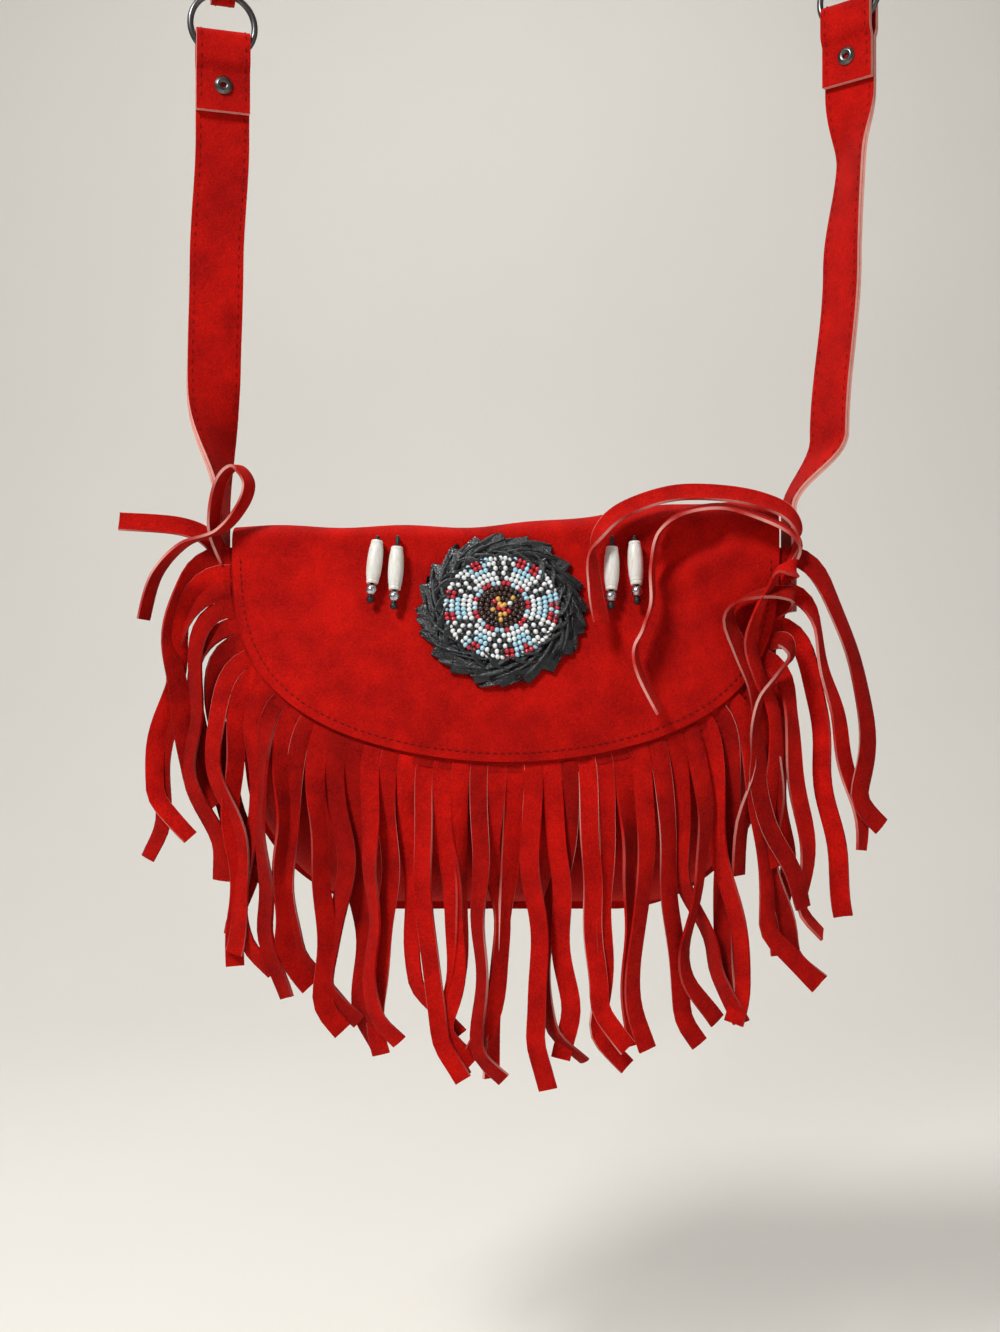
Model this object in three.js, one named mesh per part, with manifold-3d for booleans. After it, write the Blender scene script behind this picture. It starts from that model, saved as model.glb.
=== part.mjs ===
// A fringed suede shoulder bag that hangs by its strap. Millimetres, +Z up, front towards -Y.
// The origin is under the top of the strap, where it lies over what carries it.
import * as THREE from "three";
import { mergeVertices } from "three/addons/utils/BufferGeometryUtils.js";
import Module from "manifold-3d";

const wasm = await Module();
wasm.setup();

// Driving sizes.
const STRAP_DROP = 400; // from the strap's carried face down to the bag's top edge
const SUEDE = 1.6;
const GAP = 0.4; // between pieces that lie on each other
const POUCH_WIDTH = 264;
const POUCH_HEIGHT = 186;
const POUCH_DEPTH = 46; // at its fullest
const POUCH_TAPER = 17; // each side draws in by this much at the bottom
const POUCH_CORNER = 62;
const SEAM_WIDTH = 5;
const MOUTH_DEPTH = 26;
const MOUTH_DROP = 20; // the front panel's top edge lies this far under the bag's top edge
const BACK_DROP = 8; // and the back panel's this far
const BACK_FACE_Y = 20;
const FLAP_WIDTH = 250;
const FLAP_DROP = 112;
const FLAP_CLEAR = 9; // between the flap and the front panel
const FLAP_FRONT_START = 14; // the fold over the mouth ends at this depth in front
const SEW_CLEAR = 2; // the flap's sewn edge ends this far above the front panel
const FOLD_SHARE = 0.36; // of the flap's rows lie over the mouth
const FOLD_LEFT = -5; // height of the fold's top at the left
const FOLD_RIGHT = 7; // and at the right
const EDGE_TOP = 15; // depth at which the fringe starts at both corners
const FRINGE_STRIPS = 46;
const FRINGE_LENGTH = 138;
const FRINGE_STRIP_WIDTH = 8.2;
const FRINGE_SUEDE = 1.3;
const LAYER_STEP = 3.4; // neighbouring strips lie in three layers this far apart
const LEFT_REACH = 1.3; // the topmost left strips stand out this much further
const LEFT_OUT = 0.16; // how far the topmost left strips lean out at most
const LEFT_IN = 0.32; // and in
const RIGHT_SPREAD = 0.08; // how far the topmost right strips lean out
const CURL_DEPTH = 66; // right strips above this depth curl back over the flap, each second one
const FRINGE_BAND_IN = 9;
const FRINGE_BAND_OUT = 5;
const ROSETTE_RADIUS = 39;
const ROSETTE_THICKNESS = 2.6;
const ROSETTE_POINTS = 20;
const DISC_RADIUS = 26;
const DISC_RINGS = 9;
const DISC_THICKNESS = 2.6;
const ROSETTE_X = -2;
const ROSETTE_Z = -44;
const ROSETTE_SQUASH = 0.9; // the rosette's height over its width
const HEART = 1.2; // the radius of the small hole at the rosette's middle
const BONE_LENGTH = 20;
const BONE_RADIUS = 3.5;
const THONG_RADIUS = 0.9;
const END_BEAD_RADIUS = 2.6;
const STRAP_WIDTH = 25;
const STRAP_THICKNESS = 2.6;
const RING_RADIUS = 15; // to the middle of the wire
const RING_WIRE = 1.5; // the wire's radius
const RING_CLEAR = 0.7;
const TAB_LENGTH = 34;
const TAB_SPREAD = 6; // the two legs close up over this length under the ring
const STRAP_FOOT = -44;
const LEFT_FOLD = 226; // height of the left fold's middle over the bag's top edge
const RIGHT_FOLD = 240;
const RIVET_RADIUS = 2.2;
const RIVET_FLANGE = 4.2;
const TONGUE_WIDTH = 11;
const TONGUE_LENGTH = 30;
const TAPER_LENGTH = 26;
const FLAT_RUN = 30; // half of the level run on top
const RISE = 75; // how far each end of the upper strap rises before it turns over

// Colours.
const suede = new THREE.MeshStandardMaterial({ color: 0xc00d06, roughness: 0.95, metalness: 0 });
const black = new THREE.MeshStandardMaterial({ color: 0x1d1d1f, roughness: 0.5, metalness: 0 });
const glass = new THREE.MeshStandardMaterial({ color: 0xdfe6ea, roughness: 0.3, metalness: 0 });
const bone = new THREE.MeshStandardMaterial({ color: 0xe6e4df, roughness: 0.4, metalness: 0 });
const silver = new THREE.MeshStandardMaterial({ color: 0xb9bcc0, roughness: 0.3, metalness: 1 });
const gunmetal = new THREE.MeshStandardMaterial({ color: 0x4a4947, roughness: 0.35, metalness: 1 });

const bag = new THREE.Group();
bag.position.z = -STRAP_DROP;
const root = new THREE.Group();
root.name = "fringed_bag";
root.add(bag);

const clamp = (v, a, b) => Math.min(b, Math.max(a, v));
const mix = (a, b, t) => a + (b - a) * t;
const smooth = (t) => {
  const c = clamp(t, 0, 1);
  return c * c * (3 - 2 * c);
};
// A repeatable number from 0 to 1 for strip i and use k.
const chance = (i, k) => {
  const s = Math.sin(i * 12.9898 + k * 78.233) * 43758.5453;
  return s - Math.floor(s);
};

function manifoldOf(geometry) {
  const plain = geometry.index ? geometry.toNonIndexed() : geometry.clone();
  const only = new THREE.BufferGeometry().setAttribute("position", plain.getAttribute("position"));
  const merged = mergeVertices(only, 1e-4);
  return new wasm.Manifold(
    new wasm.Mesh({
      numProp: 3,
      vertProperties: merged.attributes.position.array,
      triVerts: new Uint32Array(merged.index.array),
    }),
  );
}

function geometryOf(solid) {
  const m = solid.getMesh();
  const g = new THREE.BufferGeometry();
  g.setAttribute("position", new THREE.BufferAttribute(new Float32Array(m.vertProperties), 3));
  g.setIndex(new THREE.BufferAttribute(new Uint32Array(m.triVerts), 1));
  g.computeVertexNormals();
  return g;
}

function add(name, geometry, material, group = bag) {
  const mesh = new THREE.Mesh(geometry, material);
  mesh.name = name;
  group.add(mesh);
  return mesh;
}

// A closed solid between two grids of points, rows by columns, top and under of the same size.
function between(top, under, closedColumns = false) {
  const rows = top.length;
  const cols = top[0].length;
  const points = [];
  for (const grid of [top, under]) {
    for (const row of grid) {
      for (const p of row) points.push(p.x, p.y, p.z);
    }
  }
  const at = (layer, r, c) => layer * rows * cols + r * cols + (c % cols);
  const faces = [];
  const quad = (a, b, c, d) => faces.push(a, b, c, a, c, d);
  const last = closedColumns ? cols : cols - 1;
  for (let r = 0; r < rows - 1; r++) {
    for (let c = 0; c < last; c++) {
      quad(at(0, r, c), at(0, r + 1, c), at(0, r + 1, c + 1), at(0, r, c + 1));
      quad(at(1, r, c), at(1, r, c + 1), at(1, r + 1, c + 1), at(1, r + 1, c));
    }
  }
  for (let c = 0; c < last; c++) {
    quad(at(0, 0, c), at(0, 0, c + 1), at(1, 0, c + 1), at(1, 0, c));
    quad(at(0, rows - 1, c + 1), at(0, rows - 1, c), at(1, rows - 1, c), at(1, rows - 1, c + 1));
  }
  if (!closedColumns) {
    for (let r = 0; r < rows - 1; r++) {
      quad(at(0, r + 1, 0), at(0, r, 0), at(1, r, 0), at(1, r + 1, 0));
      quad(at(0, r, cols - 1), at(0, r + 1, cols - 1), at(1, r + 1, cols - 1), at(1, r, cols - 1));
    }
  }
  const g = new THREE.BufferGeometry();
  g.setAttribute("position", new THREE.Float32BufferAttribute(points, 3));
  g.setIndex(faces);
  g.computeVertexNormals();
  return g;
}

// A sheet of one thickness around the surface place(u, v), with u across and v along, both from 0 to 1.
function sheet(place, across, along, thickness) {
  const top = [];
  const under = [];
  const e = 1e-3;
  for (let r = 0; r < along.length; r++) {
    const a = [];
    const b = [];
    for (let c = 0; c < across.length; c++) {
      const u = across[c];
      const v = along[r];
      const p = place(u, v);
      const du = place(Math.min(u + e, 1), v).sub(place(Math.max(u - e, 0), v));
      const dv = place(u, Math.min(v + e, 1)).sub(place(u, Math.max(v - e, 0)));
      const n = du.cross(dv).normalize().multiplyScalar(thickness / 2);
      a.push(p.clone().sub(n));
      b.push(p.clone().add(n));
    }
    top.push(a);
    under.push(b);
  }
  const g = between(top, under);
  return facingOut(g);
}

// Turns a closed geometry's faces to point out.
function facingOut(g) {
  const solid = manifoldOf(g);
  if (solid.volume() >= 0) return g;
  const index = g.index.array;
  for (let i = 0; i < index.length; i += 3) {
    const keep = index[i + 1];
    index[i + 1] = index[i + 2];
    index[i + 2] = keep;
  }
  g.computeVertexNormals();
  return g;
}

// A flat strip along points, each with its own direction of width.
function ribbon(points, sides, widths, thickness) {
  const top = [];
  const under = [];
  points.forEach((p, i) => {
    const before = points[Math.max(i - 1, 0)];
    const after = points[Math.min(i + 1, points.length - 1)];
    const along = after.clone().sub(before).normalize();
    const side = sides[i].clone().addScaledVector(along, -sides[i].dot(along)).normalize();
    const out = along.clone().cross(side).multiplyScalar(thickness / 2);
    const half = side.clone().multiplyScalar(widths[i] / 2);
    top.push([p.clone().sub(half).add(out), p.clone().add(half).add(out)]);
    under.push([p.clone().sub(half).sub(out), p.clone().add(half).sub(out)]);
  });
  return facingOut(between(top, under));
}

const steps = (n) => Array.from({ length: n + 1 }, (_, i) => i / n);
const V = (x, y, z) => new THREE.Vector3(x, y, z);

// The pouch. Its outline narrows downwards and has round lower corners.
function pouchHalfWidth(depth) {
  const taper = POUCH_TAPER * Math.pow(clamp(depth / POUCH_HEIGHT, 0, 1), 2);
  const plain = POUCH_WIDTH / 2 - taper;
  const into = depth - (POUCH_HEIGHT - POUCH_CORNER);
  if (into <= 0) return plain;
  const round = Math.sqrt(Math.max(POUCH_CORNER * POUCH_CORNER - into * into, 0));
  return plain - POUCH_CORNER + round;
}

const seamY = BACK_FACE_Y - SUEDE - GAP - SUEDE / 2;
// How far the front panel stands in front of the seam.
function pouchFullness(x, depth) {
  const half = Math.max(pouchHalfWidth(depth) - SEAM_WIDTH, 1);
  const across = Math.sqrt(Math.max(1 - Math.pow(Math.min(Math.abs(x) / half, 1), 3.2), 0));
  const rise = smooth(depth / (POUCH_HEIGHT * 0.5));
  const full = mix(MOUTH_DEPTH, POUCH_DEPTH - 2 * SUEDE - GAP, rise);
  const low = clamp((depth - POUCH_HEIGHT * 0.62) / (POUCH_HEIGHT * 0.38 - SEAM_WIDTH), 0, 1);
  return full * across * Math.sqrt(Math.max(1 - Math.pow(low, 2.4), 0));
}

const acrossPouch = steps(16).map((u) => (1 - Math.cos(u * Math.PI)) / 2);
const frontPlace = (u, v) => {
  const depth = mix(MOUTH_DROP, POUCH_HEIGHT, 1 - Math.pow(1 - v, 1.5));
  const x = (u * 2 - 1) * pouchHalfWidth(depth);
  return V(x, seamY - pouchFullness(x, depth), -depth);
};
add("front_panel", sheet(frontPlace, acrossPouch, steps(12), SUEDE), suede);

const backPlace = (u, v) => {
  const depth = mix(BACK_DROP, POUCH_HEIGHT, 1 - Math.pow(1 - v, 1.5));
  return V((u * 2 - 1) * pouchHalfWidth(depth), BACK_FACE_Y - SUEDE / 2, -depth);
};
add("back_panel", sheet(backPlace, [0, 1], steps(12), SUEDE), suede);

// The flap leaves the back panel's top edge, passes over the mouth and hangs down the front.
const flapHalf = FLAP_WIDTH / 2;
const flapBottom = (x) => {
  const share = clamp(Math.abs(x) / flapHalf, 0, 1);
  return Math.max(FLAP_DROP * Math.pow(1 - Math.pow(share, 1.9), 0.27), FLAP_DROP * 0.14);
};
const flapRise = (x) => mix(FOLD_LEFT, FOLD_RIGHT, smooth((x / flapHalf + 0.16) / 1.04));
// The flap's middle surface in front of the pouch, at a depth under the bag's top edge.
function flapY(x, depth) {
  const share = clamp(Math.abs(x) / flapHalf, 0, 1);
  const middle = seamY - mix(MOUTH_DEPTH, POUCH_DEPTH - 2 * SUEDE, smooth(depth / (POUCH_HEIGHT * 0.5)));
  const side = seamY - MOUTH_DEPTH * 0.95;
  return mix(middle, side, 0.75 * Math.pow(share, 2.6)) - FLAP_CLEAR;
}
const foldY = BACK_FACE_Y - SUEDE - GAP - SUEDE / 2;
const flapPlace = (u, v) => {
  const x = Math.sin((u - 0.5) * Math.PI) * flapHalf;
  const front = flapY(x, FLAP_FRONT_START);
  if (v <= FOLD_SHARE) {
    const turn = v / FOLD_SHARE;
    const angle = turn * Math.PI;
    const middle = (foldY + front) / 2;
    const reach = (foldY - front) / 2;
    const rise = flapRise(x);
    const y = middle + reach * Math.sign(Math.cos(angle)) * Math.pow(Math.abs(Math.cos(angle)), 0.8);
    const base = mix(MOUTH_DROP - SEW_CLEAR, FLAP_FRONT_START, turn);
    return V(x, y, -base + (base + rise) * Math.pow(Math.sin(angle), 0.55));
  }
  const share = (v - FOLD_SHARE) / (1 - FOLD_SHARE);
  const depth = mix(FLAP_FRONT_START, Math.max(flapBottom(x), FLAP_FRONT_START + 4), share);
  return V(x, flapY(x, depth), -depth);
};
const foldRows = steps(8).map((t) => t * FOLD_SHARE);
const alongFlap = [...foldRows, ...steps(7).slice(1).map((t) => mix(FOLD_SHARE, 1, t))];
add("flap", sheet(flapPlace, steps(18), alongFlap, SUEDE), suede);

// The flap's curved edge, from its top left corner round to its top right, at equal steps.
const edge = [];
for (let i = 0; i <= 400; i++) {
  const x = -Math.cos((i / 400) * Math.PI) * flapHalf;
  edge.push({ x, depth: flapBottom(x) });
}
edge.unshift({ x: -flapHalf, depth: EDGE_TOP });
edge.push({ x: flapHalf, depth: EDGE_TOP });
const run = [0];
for (let i = 1; i < edge.length; i++) {
  run.push(run[i - 1] + Math.hypot(edge[i].x - edge[i - 1].x, edge[i].depth - edge[i - 1].depth));
}
const edgeLength = run[run.length - 1];
function edgeAt(share) {
  const want = clamp(share, 0, 1) * edgeLength;
  let i = 1;
  while (i < run.length - 1 && run[i] < want) i++;
  const t = (want - run[i - 1]) / Math.max(run[i] - run[i - 1], 1e-6);
  return { x: mix(edge[i - 1].x, edge[i].x, t), depth: mix(edge[i - 1].depth, edge[i].depth, t) };
}
// A point on the edge with the direction that leads out of the flap there.
function edgeFrame(share) {
  const e = edgeAt(share);
  const a = edgeAt(share - 0.02);
  const b = edgeAt(share + 0.02);
  const long = Math.hypot(b.x - a.x, b.depth - a.depth);
  return { x: e.x, depth: e.depth, nx: -(b.depth - a.depth) / long, nz: -(b.x - a.x) / long };
}
const bandLift = SUEDE / 2 + GAP + FRINGE_SUEDE / 2; // the band's middle lies this far behind the flap's
const bandPlace = (u, v) => {
  const f = edgeFrame(v);
  const out = mix(-FRINGE_BAND_IN, FRINGE_BAND_OUT, u);
  const x = f.x + f.nx * out;
  const depth = f.depth - f.nz * out;
  return V(x, flapY(x, Math.max(depth, FLAP_FRONT_START)) + bandLift, -depth);
};
let fringe = manifoldOf(sheet(bandPlace, [0, 0.6, 1], steps(32), FRINGE_SUEDE));

// A free strip: it leaves square to the edge and bends down under its own weight.
function stripPath(i) {
  const share = (i + 0.5) / FRINGE_STRIPS;
  const f = edgeFrame(share);
  const side = f.nx;
  const out = Math.abs(side);
  const upper = 1 - smooth((f.depth - FLAP_FRONT_START) / 60);
  const start = bandPlace(0.75, share);
  if (side > 0.75 && f.depth < CURL_DEPTH && i % 2 === 0) return curledPath(start, i);
  const length = FRINGE_LENGTH * mix(0.94, 1.06, chance(i, 1));
  const stand = side < 0 ? 1 + LEFT_REACH * upper * out : 1;
  const bend = mix(7, 13, chance(i, 2)) * (0.6 + 0.4 * out) * stand;
  const leftTilt = out * upper * mix(-LEFT_OUT, LEFT_IN, chance(i, 3));
  const tilt = side < 0 ? leftTilt : side * mix(0.04, RIGHT_SPREAD, upper);
  const lean = tilt + (chance(i, 11) - 0.5) * 0.14;
  const sway = (chance(i, 4) - 0.5) * 0.5;
  const phase = chance(i, 5) * 6.28;
  const flick = mix(-0.3, 0.9, chance(i, 6));
  const turnMost = (0.3 + out * 0.9) * (chance(i, 7) > 0.5 ? 1 : -1);
  const lift = ((i % 3) - 1) * LAYER_STEP;
  const count = 7;
  const piece = length / count;
  const p = start.clone();
  const points = [p.clone()];
  const sides = [];
  for (let k = 0; k <= count; k++) {
    const s = k / count;
    const fade = Math.exp((-s * length) / bend);
    const swing = lean + sway * Math.sin(phase + s * 7) * s + flick * smooth((s - 0.72) / 0.16);
    const dx = side * fade + (1 - fade) * swing;
    const dz = f.nz * fade - (1 - fade) * (1 - 0.3 * out * (1 - s));
    const dir = V(dx, 0, dz).normalize();
    const turn = turnMost * smooth(s * 2.4) * (0.75 + 0.25 * Math.sin(phase + s * 5));
    const flat = V(-dir.z, 0, dir.x).normalize();
    const deep = dir.clone().cross(flat);
    sides.push(flat.clone().multiplyScalar(Math.cos(turn)).addScaledVector(deep, Math.sin(turn)));
    if (k < count) {
      p.addScaledVector(dir, piece);
      const next = (k + 1) / count;
      points.push(p.clone().setY(start.y + lift * smooth(next * 1.7) + 6 * out * next));
    }
  }
  return { points, sides };
}
// A strip that curls forward round the flap's edge and hangs in front of it.
const CURL = [
  [0, 0, 0], [5.5, -3, 2], [7, -7, 5], [3, -9, 8.5], [-5, -9.5, 8.5], [-12, -10, 3], [-15, -10.5, -9],
  [-13, -11, -28], [-6, -11, -52], [0, -10, -78], [1, -9, -104],
];
function curledPath(start, i) {
  const reach = mix(0.85, 1.15, chance(i, 12));
  const scaled = ([x, y, z]) => V(x > 0 ? x : x * reach, y, z > 0 ? z * reach : z);
  const points = CURL.map((knot) => start.clone().add(scaled(knot)));
  const sides = CURL.map((_, k) => V(0.3, 0.92, 0.2).lerp(V(0.92, 0.3, 0.1), smooth((k - 5) / 4)));
  return { points, sides };
}
const widthsOf = (points, width) => points.map(() => width);
for (let i = 0; i < FRINGE_STRIPS; i++) {
  const { points, sides } = stripPath(i);
  fringe = fringe.add(manifoldOf(ribbon(points, sides, widthsOf(points, FRINGE_STRIP_WIDTH), FRINGE_SUEDE)));
}
// Four long strips at the top corners that lie out of line, each with its points and its direction of width.
const STRAY_STRIPS = [
  {
    side: V(0.45, 0.9, 0.1),
    points: [
      [-128.6, -15, -21], [-133, -20, -6], [-130, -22, 13], [-123, -22, 21], [-117, -22, 14],
      [-120, -23, 3], [-130, -22, -8], [-147, -20, -14], [-160, -18, -28], [-166, -17, -48],
    ],
  },
  {
    side: V(0, 0.2, 1),
    points: [[-127, -14.2, -24], [-136, -15, -11], [-150, -16, -5], [-177, -17, -3]],
  },
  {
    side: V(0.2, 0.5, 0.85),
    points: [
      [129.4, -15, -21], [134, -19.5, -10], [128, -24, 0], [115, -24.5, 6], [98, -25, 9], [77, -26, 9],
      [59, -27, 4], [46, -29, -4], [39, -32, -17], [39.5, -36, -35], [42, -40, -50],
    ],
  },
  {
    side: V(0.25, 0.9, 0.3),
    points: [
      [129.4, -14.5, -27], [134.5, -19, -16], [128, -25, -8], [113, -25, -1], [97, -25, 3], [80, -26, 0],
      [69, -28, -9], [65.5, -31, -24], [65, -35, -40], [61, -38, -52],
      [57, -41, -62], [59, -43, -73], [67.5, -44, -90],
    ],
  },
];
for (const { side, points } of STRAY_STRIPS) {
  const line = points.map(([x, y, z]) => V(x, y, z));
  const sides = line.map(() => side);
  fringe = fringe.add(manifoldOf(ribbon(line, sides, widthsOf(line, FRINGE_STRIP_WIDTH), FRINGE_SUEDE)));
}
add("fringe", geometryOf(fringe), suede);

// Points on the flap's outer face, with the direction down its slope and the direction out of it.
function faceAt(x, z) {
  const y = flapY(x, -z) - SUEDE / 2;
  const down = V(0, flapY(x, -z + 1) - flapY(x, -z - 1), -2).normalize();
  const right = V(2, flapY(x + 1, -z) - flapY(x - 1, -z), 0).normalize();
  const out = right.clone().cross(down).normalize();
  if (out.y > 0) out.negate();
  return { p: V(x, y, z), down, out };
}

// A dish that follows the flap: rings of points with a height over the flap's face.
function onFlap(radii, heights, low, count, stretch) {
  const top = [];
  const under = [];
  const place = (r, a, h) => {
    const x = ROSETTE_X + r * Math.cos(a);
    const z = ROSETTE_Z + r * Math.sin(a) * stretch;
    const f = faceAt(x, z);
    return f.p.addScaledVector(f.out, h);
  };
  radii.forEach((radius, k) => {
    const a = [];
    const b = [];
    for (let c = 0; c < count; c++) {
      const angle = (c / count) * Math.PI * 2;
      const r = typeof radius === "function" ? radius(c) : radius;
      a.push(place(r, angle, heights[k]));
      b.push(place(r, angle, low));
    }
    top.push(a);
    under.push(b);
  });
  return facingOut(between(top, under, true));
}
const pointed = (inner) => (c) => ROSETTE_RADIUS * (inner - 0.1 * ((c % 4) / 3));
add(
  "rosette_base",
  onFlap(
    [HEART, DISC_RADIUS * 0.9, ROSETTE_RADIUS * 0.82, pointed(1)],
    [1, 1, 1.4, 0.7].map((h) => h * ROSETTE_THICKNESS + GAP),
    GAP,
    ROSETTE_POINTS * 4,
    ROSETTE_SQUASH,
  ),
  black,
);
const discRadii = [HEART];
const discHeights = [0.8];
const discLow = ROSETTE_THICKNESS + 3 * GAP;
for (let k = 0; k < DISC_RINGS; k++) {
  const pitch = (DISC_RADIUS - HEART) / DISC_RINGS;
  discRadii.push(HEART + pitch * (k + 0.5));
  discHeights.push(1);
  discRadii.push(HEART + pitch * (k + 1));
  discHeights.push(k === DISC_RINGS - 1 ? 0.45 : 0.75);
}
add(
  "beaded_disc",
  onFlap(
    discRadii,
    discHeights.map((h) => discLow + DISC_THICKNESS * h),
    discLow,
    24,
    ROSETTE_SQUASH,
  ),
  glass,
);

// Pendants: a bone bead, a silver bead and a knotted thong that hangs from the flap's top.
function turned(profile, segments) {
  return new THREE.LatheGeometry(profile.map(([r, h]) => new THREE.Vector2(r, h)), segments);
}
const PENDANTS = [
  { x: -58, z: -12, lean: -0.1 },
  { x: -49, z: -12, lean: -0.04 },
  { x: 48, z: -12, lean: -0.03 },
  { x: 58, z: -12, lean: 0.03 },
];
const PENDANT_DROPS = [0, 6, 6, 1];
PENDANTS.forEach(({ x, z, lean }, n) => {
  const f = faceAt(x, z - 14);
  const hang = new THREE.Group();
  const top = faceAt(x, z);
  const off = BONE_RADIUS + 1.2;
  hang.position.copy(top.p.clone().addScaledVector(f.out, off));
  const drop = f.down.clone().applyAxisAngle(f.out, lean);
  hang.quaternion.setFromUnitVectors(V(0, -1, 0), drop);
  bag.add(hang);
  const extra = PENDANT_DROPS[n];
  const bore = THONG_RADIUS + 0.3;
  const b0 = -1.6 - extra * 0.5;
  const b1 = b0 - BONE_LENGTH;
  const waist = BONE_RADIUS * 0.72;
  add(
    `bone_bead_${n + 1}`,
    turned(
      [
        [bore, b1], [waist, b1],
        [BONE_RADIUS, mix(b0, b1, 0.6)], [BONE_RADIUS, mix(b0, b1, 0.4)], [waist, b0],
        [bore, b0], [bore, b1],
      ],
      14,
    ),
    bone,
    hang,
  );
  const c = b1 - GAP - END_BEAD_RADIUS;
  const r = END_BEAD_RADIUS;
  const cap = Math.sqrt(r * r - bore * bore);
  add(
    `end_bead_${n + 1}`,
    turned(
      [
        [bore, c - cap], [r * 0.8, c - r * 0.6], [r, c],
        [r * 0.8, c + r * 0.6], [bore, c + cap], [bore, c - cap],
      ],
      12,
    ),
    silver,
    hang,
  );
  const knot = c - cap - GAP;
  const cord = manifoldOf(
    turned(
      [
        [0, knot - 3.4], [1.7, knot - 2.6], [1.7, knot - 0.6], [THONG_RADIUS, knot], [THONG_RADIUS, 0.8],
        [0, 0.9],
      ],
      10,
    ),
  );
  const stub = new THREE.CylinderGeometry(THONG_RADIUS, THONG_RADIUS, off - GAP, 10);
  const inward = f.out.clone().negate().applyQuaternion(hang.quaternion.clone().invert());
  stub.translate(0, (off - GAP) / 2, 0);
  stub.applyQuaternion(new THREE.Quaternion().setFromUnitVectors(V(0, 1, 0), inward));
  add(`thong_${n + 1}`, geometryOf(cord.add(manifoldOf(stub))), black, hang);
});

// The lower straps: each rises from the bag's side, folds over its ring and is riveted to itself.
const half = STRAP_THICKNESS / 2;
const loopOut = RING_WIRE + RING_CLEAR + half;
// Height of the ring's middle over the wire's middle where it enters a fold of this width.
const entry = (width) => Math.sqrt(RING_RADIUS * RING_RADIUS - (width * width) / 4);
// Height of the ring's middle over the middle of a fold of this width that it hangs in.
const wireDepth = (width) => (RING_WIRE * RING_RADIUS) / entry(width);
const ringLift = (width) => RING_WIRE + RING_CLEAR + entry(width) - wireDepth(width) - GAP;
const slotOf = (width) => RING_RADIUS + RING_WIRE + RING_CLEAR - ringLift(width);
const legY = half + GAP / 2;

// Outline of the strap from its foot up, over the ring and down to the tab's end, as [depth y, height z].
function foldLine(foot, top, tab) {
  const line = [];
  const bottom = top - slotOf(STRAP_WIDTH);
  const rise = 14;
  for (let k = 0; k <= rise; k++) line.push([legY, mix(foot, bottom - TAB_SPREAD, k / rise)]);
  line.push([loopOut, bottom]);
  line.push([loopOut, top]);
  for (let k = 1; k < 6; k++) {
    const a = (k / 6) * Math.PI;
    line.push([loopOut * Math.cos(a), top + loopOut * Math.sin(a)]);
  }
  line.push([-loopOut, top]);
  line.push([-loopOut, bottom]);
  line.push([-legY, bottom - TAB_SPREAD]);
  line.push([-legY, top - tab]);
  return line;
}

function makeStrap(side, at, turnAt, foot, top) {
  // Places a point of the untwisted strap, with its width along x.
  const place = (wx, wy, z) => {
    const a = turnAt(z);
    const [cx, cy] = at(z);
    return V(cx + wx * Math.cos(a) - wy * Math.sin(a), cy + wx * Math.sin(a) + wy * Math.cos(a), z);
  };
  const line = foldLine(foot, top, TAB_LENGTH);
  const inner = [];
  const outer = [];
  line.forEach(([y, z], i) => {
    const [ya, za] = line[Math.max(i - 1, 0)];
    const [yb, zb] = line[Math.min(i + 1, line.length - 1)];
    const long = Math.hypot(yb - ya, zb - za);
    const ny = (zb - za) / long;
    const nz = -(yb - ya) / long;
    const w = STRAP_WIDTH / 2;
    outer.push([-w, w].map((x) => place(x, y + ny * half, z + nz * half)));
    inner.push([-w, w].map((x) => place(x, y - ny * half, z - nz * half)));
  });
  let strap = manifoldOf(facingOut(between(outer, inner)));
  const rivetZ = top - TAB_LENGTH + 12;
  const turn = turnAt(rivetZ);
  const [cx, cy] = at(rivetZ);
  const reach = legY + half;
  const shank = new THREE.CylinderGeometry(RIVET_RADIUS + GAP, RIVET_RADIUS + GAP, reach * 4, 10);
  shank.applyMatrix4(new THREE.Matrix4().makeRotationZ(turn).setPosition(cx, cy, rivetZ));
  strap = strap.subtract(manifoldOf(shank));
  add(`strap_${side}`, geometryOf(strap), suede);
  const rivet = add(`rivet_${side}`, rivetShape(reach), gunmetal);
  rivet.position.set(cx, cy, rivetZ);
  rivet.rotation.z = turn;
  const ringZ = top + ringLift(STRAP_WIDTH);
  const ring = add(`ring_${side}`, new THREE.TorusGeometry(RING_RADIUS, RING_WIRE, 7, 28), gunmetal);
  const ringTurn = turnAt(top);
  ring.rotation.set(Math.PI / 2, 0, ringTurn, "ZXY");
  const [rx, ry] = at(top);
  ring.position.set(rx, ry, ringZ);
  return { x: rx, y: ry, z: ringZ, turn: ringTurn };
}
// A hollow rivet through two layers, its axis along y.
function rivetShape(reach) {
  const f = reach + GAP;
  const hole = RIVET_RADIUS * 0.5;
  return turned(
    [
      [hole, -f - 1],
      [RIVET_RADIUS, -f - 1.1],
      [RIVET_FLANGE, -f - 0.3],
      [RIVET_FLANGE, -f],
      [RIVET_RADIUS, -f],
      [RIVET_RADIUS, f],
      [RIVET_FLANGE, f],
      [RIVET_FLANGE, f + 0.3],
      [RIVET_RADIUS, f + 1.1],
      [hole, f + 1],
      [hole, -f - 1],
    ],
    10,
  );
}

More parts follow.
